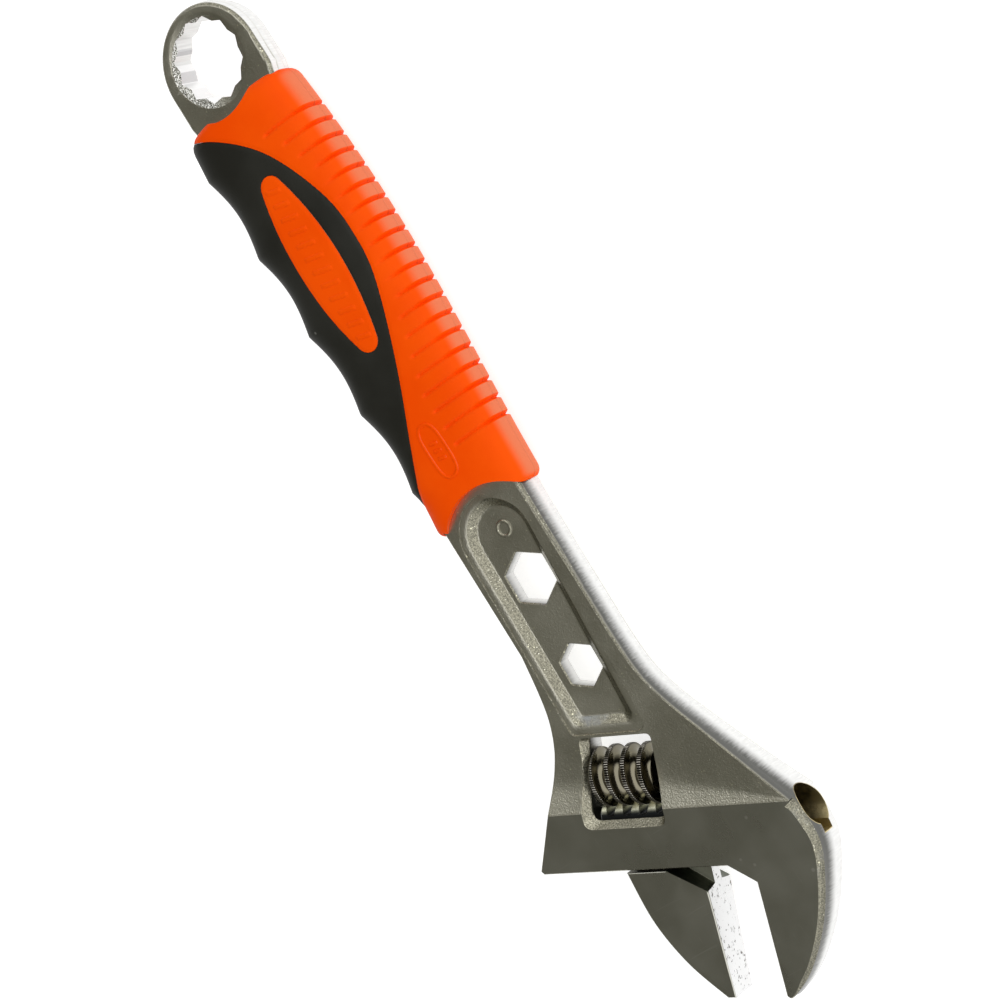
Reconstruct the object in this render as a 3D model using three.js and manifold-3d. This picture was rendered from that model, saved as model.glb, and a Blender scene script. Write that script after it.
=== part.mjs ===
// Adjustable wrench with a ring end, two hex holes in the neck and a two-colour soft grip.
// Millimetres. The wrench lies flat: +X from the ring to the jaws, +Y to the fixed-jaw side, +Z up.
// Working origin: the centre of the ring hole, on the middle plane. The group is moved at the end so
// that the part's own origin is the bottom centre of its bounding box.
import * as THREE from "three";
import { mergeVertices } from "three/addons/utils/BufferGeometryUtils.js";
import Module from "manifold-3d";

const wasm = await Module();
wasm.setup();

// ---- Driving dimensions -------------------------------------------------------------------------
const fitGap = 0.3; // between pieces that touch
const runGap = 0.3; // between pieces that slide or turn
const meshTolerance = 0.01; // slivers thinner than this are tidied away

const ringAcrossFlats = 17.2; // twelve-point hole for 17 mm hexagons
const ringWall = 6;
const ringOffset = 1.6; // the ring's outer circle sits this much nearer the handle than its hole
const ringHalfThickness = 3.5;
const ringCountersink = 0.9; // depth and width of the slope round the hole
const ringCountersinkWidth = 2.4;
const ringEdge = 1.1;
const ringOuterRadius = ringAcrossFlats / 2 + ringWall;

const gripOverRing = 2.6; // the grip begins this far inside the ring's outer circle
const gripStart = ringOuterRadius - gripOverRing;
const gripLength = 108;
const gripEnd = gripStart + gripLength;
const gripHalfThickness = 7.8;
const gripEndHalfThickness = 6.1;
const gripTop = 18; // spine of the grip over the ring axis, at its highest
const gripTopAt = gripStart + 38;
const gripStartDrop = 2.4; // how much lower the spine is at the ring end
const gripTopDrop = 3.9; // how much lower the spine is at the head end
const gripBottom = 18.8; // lower edge at the first finger ridge
const gripBottomRise = 0.026; // how much it rises for each millimetre
const gripRingHollow = ringOuterRadius - 0.3; // radii of the hollow ends, round the ring and round the neck panel
const gripNeckHollow = 17;
const gripNeckHollowDepth = 5.2;
const fingerPitch = 21.4;
const fingerFirst = gripStart + 9.8;
const fingerDepth = 2.1;
const grooveFirst = gripStart + 11.4;
const groovePitch = 4.28;
const grooveWidth = 1.3;
const grooveDepth = 0.9;
const grooveMargin = 14; // plain length of the spine at the neck
const gripRoundness = 2.8; // exponent of the rounded section
const inlaySkin = 2;
const badgeAt = gripStart + 41.8;
const badgeHalfLength = 23.1;
const badgeRise = 6.2;

const neckHalfThickness = 4.1;
const neckEdge = 1.2;
const neckTop = 11.2; // neck outline above and below the ring axis
const neckBottom = -13.7;
const neckStart = gripEnd - 2;
const neckLength = 34;
const neckEnd = neckStart + neckLength;
const tangHalfWidth = 10.8; // the bar inside the grip
const tangShoulder = gripTop - gripStartDrop - 1; // the bar's half width where the grip begins
const tangStart = gripStart + 12; // where the ring's shoulders have run down to the bar
const tangDrop = 1.2; // the bar's lower side falls this much towards the neck
const tangEnd = gripEnd - 14;

const webHalfThickness = 2; // floor of the neck panel
const panelStart = neckStart; // round end of the panel
const panelLength = 56.6;
const panelEnd = panelStart + panelLength;
const panelHalfWidth = 9;
const panelTaper = 1.3; // how much narrower each side is at the head
const panelWall = 2; // sloping wall of the panel, seen from above
const panelTilt = THREE.MathUtils.degToRad(-2.2);
const hexHoles = [
  { x: panelStart + 20.3, y: -1.1, acrossFlats: 11.6 },
  { x: panelStart + 42.6, y: -2, acrossFlats: 9.5 },
];

const headAngle = THREE.MathUtils.degToRad(-22.5); // jaw faces against the handle
const headLength = 62.85; // neck to the top of the slideway, the origin of the head frame
const throatX = neckEnd + headLength;
const throatY = 5.1;
const headPeak = 6.45; // half thickness where the ground face begins
const groundStart = -14.3; // ground face from here to the jaw tips
const jawReach = 31; // slideway to jaw tip
const tipHalfThickness = 4;
const headEdge = 0.9;
const jawEdge = 0.5;
const slideLength = 49;
const fixedFace = 6.1; // height of the fixed jaw's face over the throat
const throatStep = 4;

const jawGap = 12.5; // how far the jaws stand open
const jawHeight = 19.6; // movable jaw along the slideway
const webWall = 3.2; // web between the jaw and its rack
const rackRadius = 4.2;
const rackAxis = -11.5; // rack's axis from the slideway
const rackLength = 24;
const rackToothDepth = 2.1;
const toothGap = 0.13; // between a thread's flank and a tooth's, on each side

const wormPitch = 4.3;
const wormRadius = 7.1;
const wormRootRadius = 4.9;
const wormCrest = 1.3; // width of the knurled crest
const wormFoot = 2.7; // width of the thread at its root
const wormLength = 16.2;
const wormPhase = 0.35; // turn at which the first crest starts
const wormAxis = rackAxis - rackRadius + rackToothDepth - runGap - wormRadius;
const pinRadius = 1.5;
const pinHeadRadius = 2.6;
const pinHeadLength = 4.5;
const springWire = 0.6;
const springTurns = 5;
const springPocketDepth = 4.4;

const windowTop = -12.3; // opening that holds the worm, in the head frame
const windowSide = 3.1; // room beside the worm
const windowFall = 3; // how much lower the opening is at the rack
const windowRackShare = 0.7; // how far the opening stays short of the rack's axis
const windowBevel = 1.8;
const wormTop = windowTop - 0.9;
const wormBottom = wormTop - wormLength;
const windowLeft = wormAxis - wormRadius - windowSide;
const windowRight = rackAxis - windowRackShare;
const windowFallAtWorm = (windowFall * windowSide) / (windowRight - windowLeft);
const windowBottomLeft = wormBottom - runGap + windowFallAtWorm;
const windowBottomRight = windowBottomLeft - windowFall;

// ---- Solids -------------------------------------------------------------------------------------
function solidOf(geometry) {
  const bare = geometry.clone();
  bare.deleteAttribute("normal");
  bare.deleteAttribute("uv");
  const merged = mergeVertices(bare, 1e-4);
  const vertProperties = new Float32Array(merged.attributes.position.array);
  const triVerts = new Uint32Array(merged.index.array);
  return new wasm.Manifold(new wasm.Mesh({ numProp: 3, vertProperties, triVerts }));
}

function geometryOf(solid) {
  const mesh = solid.getMesh();
  const geometry = new THREE.BufferGeometry();
  geometry.setAttribute("position", new THREE.BufferAttribute(mesh.vertProperties, 3));
  geometry.setIndex(new THREE.BufferAttribute(mesh.triVerts, 1));
  const flat = geometry.toNonIndexed();
  flat.computeVertexNormals();
  return flat;
}

const headFrame = new THREE.Matrix4()
  .makeTranslation(throatX, throatY, 0)
  .multiply(new THREE.Matrix4().makeRotationZ(headAngle));

// u runs from the slideway out to the jaw tips, v along the slideway to the fixed jaw
function headPoint(u, v) {
  const point = new THREE.Vector3(u, v, 0).applyMatrix4(headFrame);
  return new THREE.Vector2(point.x, point.y);
}

function plate(shape, low, high, edge = 0, curveSegments = 12) {
  const geometry = new THREE.ExtrudeGeometry(shape, {
    depth: high - low - 2 * edge,
    bevelEnabled: edge > 0,
    bevelThickness: edge,
    bevelSize: edge,
    bevelOffset: -edge,
    bevelSegments: 2,
    curveSegments,
  });
  return solidOf(geometry.translate(0, 0, low + edge));
}

function headPlate(shape, low, high, edge = 0) {
  const geometry = new THREE.ExtrudeGeometry(shape, {
    depth: high - low - 2 * edge,
    bevelEnabled: edge > 0,
    bevelThickness: edge,
    bevelSize: edge,
    bevelOffset: -edge,
    bevelSegments: 1,
    curveSegments: 5,
  });
  return solidOf(geometry.translate(0, 0, low + edge).applyMatrix4(headFrame));
}

function shapeOf(points) {
  return new THREE.Shape(points.map(([x, y]) => new THREE.Vector2(x, y)));
}

function circleShape(x, y, radius) {
  const shape = new THREE.Shape();
  shape.absarc(x, y, radius, 0, 2 * Math.PI, false);
  return shape;
}

// Joins closed rings of points, all of one length, into a solid with flat ends
function loft(rings) {
  const count = rings[0].length;
  const positions = rings.flat().flatMap((p) => [p.x, p.y, p.z]);
  const index = [];
  for (let i = 0; i + 1 < rings.length; i++) {
    for (let j = 0; j < count; j++) {
      const a = i * count + j;
      const b = i * count + ((j + 1) % count);
      index.push(a, b, b + count, a, b + count, a + count);
    }
  }
  for (const [ring, flip] of [[0, true], [rings.length - 1, false]]) {
    const centre = positions.length / 3;
    const middle = new THREE.Vector3();
    rings[ring].forEach((p) => middle.add(p));
    middle.divideScalar(count);
    positions.push(middle.x, middle.y, middle.z);
    for (let j = 0; j < count; j++) {
      const a = ring * count + j;
      const b = ring * count + ((j + 1) % count);
      index.push(centre, flip ? b : a, flip ? a : b);
    }
  }
  const geometry = new THREE.BufferGeometry();
  geometry.setAttribute("position", new THREE.Float32BufferAttribute(positions, 3));
  geometry.setIndex(index);
  return solidOf(geometry);
}

// A cylinder along the head's v axis
function headCylinder(radius, u, vLow, vHigh, segments, topRadius = radius) {
  const geometry = new THREE.CylinderGeometry(topRadius, radius, vHigh - vLow, segments);
  geometry.translate(u, (vLow + vHigh) / 2, 0);
  return solidOf(geometry.applyMatrix4(headFrame));
}

function headBox(uLow, uHigh, vLow, vHigh, halfThickness) {
  const geometry = new THREE.BoxGeometry(uHigh - uLow, vHigh - vLow, 2 * halfThickness);
  geometry.translate((uLow + uHigh) / 2, (vLow + vHigh) / 2, 0);
  return solidOf(geometry.applyMatrix4(headFrame));
}

// ---- Thickness of the head ----------------------------------------------------------------------
// Half thickness against u: level neck, rise to the ground line, then the long taper to the tips
const headProfile = [
  [-neckEnd, neckHalfThickness],
  [-42, neckHalfThickness],
  [-26, neckHalfThickness + 0.8],
  [groundStart, headPeak],
  [jawReach + 3, tipHalfThickness - 0.2],
];

function headHalf(u) {
  const after = headProfile.findIndex(([station]) => station > u);
  const [uLow, low] = headProfile[after - 1];
  const [uHigh, high] = headProfile[after];
  return THREE.MathUtils.mapLinear(u, uLow, uHigh, low, high);
}

// The share of a triangle on one side of the line u, again as triangles
function clipped(corners, u, side) {
  const kept = [];
  corners.forEach((here, i) => {
    const next = corners[(i + 1) % corners.length];
    if (side * (here.x - u) >= 0) kept.push(here);
    if ((here.x - u) * (next.x - u) < 0) {
      const [left, right] = here.x < next.x ? [here, next] : [next, here];
      kept.push(left.clone().lerp(right, (u - left.x) / (right.x - left.x)).setX(u));
    }
  });
  return kept.slice(2).map((corner, i) => [kept[0], kept[i + 1], corner]);
}

// Gives a plate of half thickness headPeak the head's profile, bending it at each station
function taperedHead(solid) {
  const flat = geometryOf(solid).applyMatrix4(headFrame.clone().invert());
  const position = flat.attributes.position;
  let triangles = [];
  for (let i = 0; i < position.count; i += 3) {
    triangles.push([0, 1, 2].map((k) => new THREE.Vector3().fromBufferAttribute(position, i + k)));
  }
  for (const [u] of headProfile.slice(1, -1)) {
    triangles = triangles.flatMap((corners) => [...clipped(corners, u, 1), ...clipped(corners, u, -1)]);
  }
  const bent = triangles.flat().map((p) => new THREE.Vector3(p.x, p.y, (p.z * headHalf(p.x)) / headPeak));
  return solidOf(new THREE.BufferGeometry().setFromPoints(bent).applyMatrix4(headFrame));
}

// ---- Body ---------------------------------------------------------------------------------------
function barShape(spread) {
  const shape = new THREE.Shape();
  shape.moveTo(ringOffset, ringOuterRadius + spread);
  shape.lineTo(ringOffset, -ringOuterRadius - spread);
  shape.lineTo(gripStart - 2, -tangShoulder - spread);
  shape.lineTo(tangStart, -tangHalfWidth - 0.6 - spread);
  shape.lineTo(tangEnd, -tangHalfWidth - tangDrop - spread);
  shape.lineTo(neckStart, neckBottom - spread);
  shape.lineTo(neckEnd, neckBottom - spread);
  shape.lineTo(neckEnd, neckTop + spread);
  shape.lineTo(neckStart, neckTop + 0.6 + spread);
  shape.lineTo(tangEnd, tangHalfWidth + spread);
  shape.lineTo(tangStart, tangHalfWidth + spread);
  shape.lineTo(gripStart - 2, tangShoulder + spread);
  shape.closePath();
  return shape;
}

function fromThroat(x, y) {
  return new THREE.Vector2(throatX + x, throatY + y);
}

function headShape() {
  const start = neckEnd - 6;
  const lowerCorner = headPoint(-1, -slideLength);
  const foot = headPoint(0, -slideLength + 0.9);
  const step = headPoint(throatStep, fixedFace);
  const tip = headPoint(jawReach, fixedFace);
  const shape = new THREE.Shape();
  shape.moveTo(start, neckTop);
  shape.lineTo(start, neckBottom);
  shape.lineTo(neckEnd, neckBottom);
  shape.splineThru([
    fromThroat(-47.85, -21.6),
    fromThroat(-37.75, -27.1),
    fromThroat(-29.55, -34.5),
  ]);
  shape.lineTo(lowerCorner.x, lowerCorner.y);
  shape.lineTo(foot.x, foot.y);
  shape.lineTo(throatX, throatY);
  shape.lineTo(step.x, step.y);
  shape.lineTo(tip.x, tip.y);
  shape.splineThru([
    headPoint(jawReach + 0.3, fixedFace + 2.1),
    headPoint(25.1, 14),
    headPoint(14.9, 19.5),
    headPoint(4, 22.8),
    headPoint(-4.5, 23.8),
    headPoint(-12, 21.3),
    headPoint(groundStart - 0.6, 19.4),
  ]);
  shape.splineThru([
    fromThroat(-15.85, 19),
    fromThroat(-26.85, 13.9),
    fromThroat(-39.85, 8.3),
    new THREE.Vector2(throatX - 49.85, neckTop + 0.1),
    new THREE.Vector2(start, neckTop),
  ]);
  return shape;
}

function starShape(acrossFlats) {
  const outer = acrossFlats / 2 / Math.cos(Math.PI / 6);
  const inner = acrossFlats / 2 / Math.cos(Math.PI / 12);
  const points = [];
  for (let i = 0; i < 24; i++) {
    const angle = (i * Math.PI) / 12;
    const radius = i % 2 ? inner : outer;
    points.push([radius * Math.cos(angle), radius * Math.sin(angle)]);
  }
  return shapeOf(points);
}

function ringCutters() {
  const star = plate(starShape(ringAcrossFlats), -ringHalfThickness - 1, ringHalfThickness + 1);
  const height = ringCountersink + 1;
  const wide = ringAcrossFlats / 2 + (ringCountersinkWidth * height) / ringCountersink;
  const cone = new THREE.CylinderGeometry(wide, ringAcrossFlats / 2, height, 48);
  cone.rotateX(Math.PI / 2).translate(0, 0, ringHalfThickness + 1 - height / 2);
  const upper = solidOf(cone);
  const lower = solidOf(cone.clone().rotateX(Math.PI));
  return star.add(upper).add(lower);
}

function hexShape(hole) {
  const radius = hole.acrossFlats / 2 / Math.cos(Math.PI / 6);
  const points = [];
  for (let i = 0; i < 6; i++) {
    const angle = panelTilt + (i * Math.PI) / 3;
    points.push([hole.x + radius * Math.cos(angle), hole.y + radius * Math.sin(angle)]);
  }
  return shapeOf(points);
}

// Outline of the neck panel, inset from its rim: round at the handle, cut along the slide at the head
function panelRing(inset, z) {
  const radius = panelHalfWidth - inset;
  const centreX = panelStart + panelHalfWidth;
  const middle = hexHoles[0].y;
  const fall = Math.tan(panelTilt) * (panelEnd - centreX);
  const slant = Math.tan(-headAngle) * (radius - panelTaper);
  const points = [];
  for (let i = 0; i <= 12; i++) {
    const angle = Math.PI / 2 + (i * Math.PI) / 12;
    const x = centreX + radius * Math.cos(angle);
    points.push(new THREE.Vector3(x, middle + radius * Math.sin(angle), z));
  }
  const endX = panelEnd - inset;
  const endY = middle + fall;
  points.push(new THREE.Vector3(endX - slant, endY - radius + panelTaper * 0.4, z));
  points.push(new THREE.Vector3(endX + slant, endY + radius - panelTaper * 1.6, z));
  return points;
}

function panelCutter() {
  const above = 1;
  const slope = panelWall / (neckHalfThickness - webHalfThickness);
  const rings = [
    panelRing(panelWall, webHalfThickness),
    panelRing(-above * slope, neckHalfThickness + above),
  ];
  return loft(rings);
}

// The worm's opening: four sided, with the rim bevelled on the ground face and below
function windowRing(spread, z) {
  const corners = [
    [windowLeft, windowTop],
    [windowLeft, windowBottomLeft - spread],
    [windowRight + spread, windowBottomRight - spread],
    [windowRight + spread, windowTop],
  ];
  return corners.map(([u, v]) => new THREE.Vector3(u, v, z).applyMatrix4(headFrame));
}

function windowCutter() {
  const rim = headPeak - windowBevel;
  const over = 1.5;
  const through = loft([windowRing(0, -headPeak - 1), windowRing(0, headPeak + 1)]);
  const upper = loft([windowRing(0, rim - 0.4), windowRing(windowBevel + over, headPeak + over - 0.4)]);
  return through.add(upper).add(upper.mirror([0, 0, 1]));
}

function bodySolid() {
  const ringOutline = circleShape(ringOffset, 0, ringOuterRadius);
  const ring = plate(ringOutline, -ringHalfThickness, ringHalfThickness, ringEdge, 20);
  const bar = plate(barShape(0), -neckHalfThickness, neckHalfThickness, neckEdge);
  const shoulder = ringOuterRadius + 1;
  const ringZone = new THREE.BoxGeometry(2 * shoulder, 2 * shoulder, 20);
  ringZone.translate(gripStart - 1 - shoulder, 0, 0);
  const stem = bar.subtract(solidOf(ringZone));
  const bridge = plate(
    shapeOf([
      [ringOffset, ringOuterRadius],
      [ringOffset, -ringOuterRadius],
      [gripStart, -tangShoulder],
      [gripStart, tangShoulder],
    ]),
    -ringHalfThickness,
    ringHalfThickness,
    ringEdge,
  );
  const head = taperedHead(plate(headShape(), -headPeak, headPeak, headEdge, 4));
  const panel = panelCutter();
  let body = ring.add(bridge).add(stem).add(head);
  body = body.subtract(ringCutters()).subtract(panel).subtract(panel.mirror([0, 0, 1]));
  for (const hole of hexHoles) {
    body = body.subtract(plate(hexShape(hole), -neckHalfThickness, neckHalfThickness));
  }
  const pinBottom = pinHeadEnd - 6;
  return body
    .subtract(windowCutter())
    .subtract(headCylinder(rackRadius + runGap, rackAxis, -60, 40, 28))
    .subtract(headBox(rackAxis, rackAxis + 6, -60, 40, webWall / 2 + runGap))
    .subtract(headBox(rackAxis, throatStep + 2, -60, fixedFace + 0.4, webWall / 2 + runGap))
    .subtract(headCylinder(pinRadius + fitGap, wormAxis, pinHeadEnd - 1, pinTop + fitGap, 20))
    .subtract(headCylinder(pinHeadRadius + fitGap, wormAxis, pinBottom, pinHeadTop + fitGap, 20));
}

// ---- Movable jaw --------------------------------------------------------------------------------
const jawTop = fixedFace - jawGap;
const jawFoot = jawTop - jawHeight;

function jawShape() {
  const shape = new THREE.Shape();
  shape.moveTo(runGap, jawTop);
  shape.lineTo(runGap, jawFoot);
  shape.splineThru([
    new THREE.Vector2(12.4, jawFoot + 3.6),
    new THREE.Vector2(22.6, jawFoot + 9.6),
    new THREE.Vector2(jawReach, jawTop - 2.1),
  ]);
  shape.lineTo(jawReach, jawTop);
  shape.closePath();
  return shape;
}

// Relief beside the throat: the full thickness stops at a slanted line, the web goes on
function reliefRing(shift, z) {
  const corners = [
    [-2, jawTop + 3],
    [-2, jawTop - 9.4 + shift],
    [runGap, jawTop - 9.4 + shift],
    [5.6 - shift * 0.3, jawTop + 0.02],
    [5.6 - shift * 0.3, jawTop + 3],
  ];
  return corners.map(([u, v]) => new THREE.Vector3(u, v, z).applyMatrix4(headFrame));
}

function movableJawSolid() {
  const blank = headPlate(jawShape(), -headPeak, headPeak, jawEdge);
  const relief = loft([reliefRing(2.6, webWall / 2), reliefRing(0, headPeak + 0.5)]);
  const jaw = taperedHead(blank).subtract(relief).subtract(relief.mirror([0, 0, 1]));
  const rackBottom = jawTop - rackLength;
  let rack = headCylinder(rackRadius, rackAxis, rackBottom, jawTop, 28);
  const toothRoot = rackAxis - rackRadius + rackToothDepth;
  const narrow = wormCrest / 2 + toothGap;
  const mouth = narrow + threadFlank * rackRadius;
  for (let v = rackPhase; v > rackBottom - wormPitch; v -= wormPitch) {
    const gap = shapeOf([
      [toothRoot, v - narrow],
      [toothRoot, v + narrow],
      [toothRoot - rackRadius, v + mouth],
      [toothRoot - rackRadius, v - mouth],
    ]);
    rack = rack.subtract(headPlate(gap, -6, 6));
  }
  const web = headBox(rackAxis, runGap + 1, jawFoot + 1, jawTop, webWall / 2);
  return jaw.add(web).add(rack);
}

// ---- Worm, pin and spring -----------------------------------------------------------------------
const threadRoot = wormRootRadius - 0.6; // the thread starts inside the core
const threadFlank = (wormFoot - wormCrest) / 2 / (wormRadius - threadRoot);
const pinTop = windowTop + 5.5;
const pinHeadTop = windowBottomLeft - 5.4;
const pinHeadEnd = pinHeadTop - pinHeadLength;

// The crest's middle is at this v when the turn, from +u towards +z, is zero
const crestPlace = wormTop - wormPhase * wormPitch;
const rackPhase = crestPlace - Math.ceil((crestPlace - jawTop) / wormPitch) * wormPitch + wormPitch;

// A band swept along the right-hand helix
function helixSolid(section, pitch, turns, startTurn, startV, steps) {
  const rings = [];
  const count = Math.round(turns * steps);
  for (let i = 0; i <= count; i++) {
    const turn = startTurn + i / steps;
    const angle = 2 * Math.PI * turn;
    const v = startV - pitch * turn;
    rings.push(
      section.map(([radius, along]) =>
        new THREE.Vector3(
          wormAxis + radius * Math.cos(angle),
          v + along,
          radius * Math.sin(angle),
        ).applyMatrix4(headFrame),
      ),
    );
  }
  return loft(rings);
}

function wormSolid() {
  const section = [
    [threadRoot, -wormFoot / 2],
    [wormRadius, -wormCrest / 2],
    [wormRadius, wormCrest / 2],
    [threadRoot, wormFoot / 2],
  ];
  const turns = wormLength / wormPitch + 1.6;
  const thread = helixSolid(section, wormPitch, turns, -0.8 + wormPhase, crestPlace, 18);
  const trim = headCylinder(wormRadius + 1, wormAxis, wormBottom, wormTop, 24);
  const core = headCylinder(wormRootRadius, wormAxis, wormBottom, wormTop, 24);
  const pocket = springWire * 2 + pinRadius + fitGap * 2.5;
  return core
    .add(thread.intersect(trim))
    .subtract(headCylinder(pinRadius + runGap, wormAxis, wormBottom - 1, wormTop + 1, 20))
    .subtract(headCylinder(pocket, wormAxis, wormTop - springPocketDepth, wormTop + 1, 20));
}

function wormPinSolid() {
  const stem = headCylinder(pinRadius, wormAxis, pinHeadEnd, pinTop, 20);
  const head = headCylinder(pinHeadRadius, wormAxis, pinHeadEnd, pinHeadTop, 20);
  const reach = pinHeadRadius + 1;
  const slot = headBox(wormAxis - reach, wormAxis + reach, pinHeadEnd - 1, pinHeadEnd + 1.1, 0.4);
  return stem.add(head).subtract(slot);
}

function wormSpringSolid() {
  const radius = pinRadius + fitGap * 1.5 + springWire / 2;
  const length = springPocketDepth + (windowTop - wormTop) - 2 * fitGap - springWire;
  const section = [];
  for (let i = 0; i < 5; i++) {
    const angle = (i * 2 * Math.PI) / 5;
    section.push([radius + (springWire / 2) * Math.cos(angle), (springWire / 2) * Math.sin(angle)]);
  }
  const top = windowTop - fitGap - springWire / 2;
  return helixSolid(section, length / springTurns, springTurns, 0, top, 11);
}

// ---- Grip ---------------------------------------------------------------------------------------
function smooth(x, low, high) {
  return THREE.MathUtils.smoothstep(x, low, high);
}

function spineHeight(x) {
  const rise = x < gripTopAt ? ((gripTopAt - x) / (gripTopAt - gripStart)) ** 2 * gripStartDrop : 0;
  return gripTop - rise - gripTopDrop * smooth(x, gripTopAt, gripEnd + 12);
}

function lowerHeight(x) {
  const ridge = gripBottom - gripBottomRise * (x - fingerFirst);
  if (x < fingerFirst) return ridge - 0.14 * (fingerFirst - x);
  const swing = Math.abs(Math.sin((Math.PI * (x - fingerFirst)) / fingerPitch));
  const lastRidge = fingerFirst + fingerPitch * Math.floor((gripEnd - fingerFirst) / fingerPitch);
  const fade = 1 - smooth(x, lastRidge, gripEnd);
  return ridge - fingerDepth * swing * (0.75 + 0.25 * fade) * fade;
}

function halfHeight(x) {
  const ends = smooth(x, gripTopAt + 10, gripEnd);
  return gripHalfThickness + (gripEndHalfThickness - gripHalfThickness) * ends;
}

// One ring of the grip: a rounded section, with the groove only on the spine side
function gripRing(x, inset, cut) {
  const corner = 3;
  const past = THREE.MathUtils.clamp(1 - (x - gripStart) / corner, 0, 1);
  const endRound = corner * (1 - Math.sqrt(1 - past * past));
  const top = spineHeight(x) - inset - endRound;
  const bottom = lowerHeight(x) - inset - endRound;
  const half = halfHeight(x) - inset - 0.4 * endRound;
  const points = [];
  const count = 20;
  for (let i = 0; i < count; i++) {
    const angle = (2 * Math.PI * i) / count;
    const c = Math.cos(angle);
    const s = Math.sin(angle);
    const y = Math.sign(c) * Math.abs(c) ** (2 / gripRoundness) * (c > 0 ? top : bottom);
    const z = Math.sign(s) * Math.abs(s) ** (2 / gripRoundness) * half;
    const depth = cut * smooth(y, 0.55 * top, 0.85 * top);
    points.push(new THREE.Vector3(x, y - depth, z * (1 - (0.5 * depth) / half)));
  }
  return points;
}

function gripLoft(inset, grooved) {
  const stations = [];
  const add = (x, cut) => stations.push({ x, cut });
  [0, 0.5, 1.5, 3].forEach((step) => add(gripStart + step, 0));
  if (grooved) {
    for (let x = grooveFirst; x < gripEnd - grooveMargin; x += groovePitch) {
      add(x - grooveWidth / 2, 0);
      add(x, grooveDepth);
      add(x + grooveWidth / 2, 0);
    }
  } else {
    const step = fingerPitch / 5;
    for (let x = fingerFirst - step; x < gripEnd - 2; x += step) add(x, 0);
  }
  add(gripEnd, 0);
  return loft(stations.map(({ x, cut }) => gripRing(x, inset, cut)));
}

// The ends of the grip are hollowed round the ring and round the neck panel
function gripEndCutters(spread) {
  const ringSide = circleShape(0, 0.3, gripRingHollow + spread);
  const neckCentre = gripEnd + gripNeckHollow - gripNeckHollowDepth;
  const headSide = circleShape(neckCentre, -0.2, gripNeckHollow + spread);
  return plate(ringSide, -12, 12, 0, 24).add(plate(headSide, -12, 12, 0, 32));
}

// Closed region under the arch that parts the two colours, pulled in by spread
function archShape(spread) {
  const arch = new THREE.SplineCurve([
    new THREE.Vector2(gripStart - 1.5, -21),
    new THREE.Vector2(gripStart + 4, -8.5),
    new THREE.Vector2(gripStart + 14.4, 2.6),
    new THREE.Vector2(gripStart + 29, 9.5),
    new THREE.Vector2(gripStart + 41, 11.1),
    new THREE.Vector2(gripStart + 54, 9.2),
    new THREE.Vector2(gripStart + 75.5, -0.3),
    new THREE.Vector2(gripStart + 106, -18.6),
  ]);
  const points = [];
  const steps = 24;
  for (let i = 0; i <= steps; i++) {
    const point = arch.getPoint(i / steps);
    const tangent = arch.getTangent(i / steps);
    points.push(new THREE.Vector2(point.x + tangent.y * spread, point.y - tangent.x * spread));
  }
  points.push(new THREE.Vector2(points.at(-1).x, -30));
  points.push(new THREE.Vector2(points[0].x, -30));
  return new THREE.Shape(points);
}

// Blunt lens in the middle of the dark inlay
function badgeShape(spread) {
  const shape = new THREE.Shape();
  const x = badgeAt;
  const y = -0.9;
  const half = badgeHalfLength + spread;
  const rise = badgeRise + spread;
  const blunt = 2.2;
  shape.moveTo(x - half, y - blunt);
  shape.quadraticCurveTo(x - half, y - 4.4, x - half + 3.2, y - 4.6);
  shape.quadraticCurveTo(x, y - 2 * rise + 4.6, x + half - 3.2, y - 4.6);
  shape.quadraticCurveTo(x + half, y - 4.4, x + half, y - blunt + 2);
  shape.lineTo(x + half, y + blunt - 2);
  shape.quadraticCurveTo(x + half, y + 4.4, x + half - 3.2, y + 4.6);
  shape.quadraticCurveTo(x, y + 2 * rise - 4.6, x - half + 3.2, y + 4.6);
  shape.quadraticCurveTo(x - half, y + 4.4, x - half, y + blunt);
  shape.closePath();
  return shape;
}

function inlayRegion(spread) {
  const arch = plate(archShape(spread), -12, 12, 0, 1);
  return arch.subtract(plate(badgeShape(spread), -12, 12, 0, 5));
}

// The bar that the grip is moulded on, with its gap
function tangCutter() {
  return plate(barShape(fitGap), -neckHalfThickness - fitGap, neckHalfThickness + fitGap);
}

function gripInlaySolid() {
  const skin = gripLoft(0, false).subtract(gripLoft(inlaySkin, false));
  return skin.intersect(inlayRegion(fitGap)).subtract(gripEndCutters(0.2)).subtract(tangCutter());
}

function gripSleeveSolid() {
  const under = inlayRegion(0).subtract(gripLoft(inlaySkin + fitGap, false));
  return gripLoft(0, true).subtract(tangCutter()).subtract(under).subtract(gripEndCutters(0));
}

// ---- Materials ----------------------------------------------------------------------------------
function material(color, roughness, metalness) {
  return new THREE.MeshStandardMaterial({ color, roughness, metalness });
}

const forgedSteel = material(0x8f8c84, 0.38, 1);
const groundSteel = material(0x9a978f, 0.3, 1);
const wormSteel = material(0x77736a, 0.25, 1);
const springSteel = material(0x8a8a88, 0.3, 1);
const pinSteel = material(0x6f6d68, 0.35, 1);
const orangeRubber = material(0xf65208, 0.55, 0);
const blackRubber = material(0x201f1b, 0.7, 0);

// ---- Assembly -----------------------------------------------------------------------------------
const parts = [
  ["body", bodySolid(), forgedSteel],
  ["movable_jaw", movableJawSolid(), groundSteel],
  ["worm", wormSolid(), wormSteel],
  ["worm_pin", wormPinSolid(), pinSteel],
  ["worm_spring", wormSpringSolid(), springSteel],
  ["grip_sleeve", gripSleeveSolid(), orangeRubber],
  ["grip_inlay", gripInlaySolid(), blackRubber],
];

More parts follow.
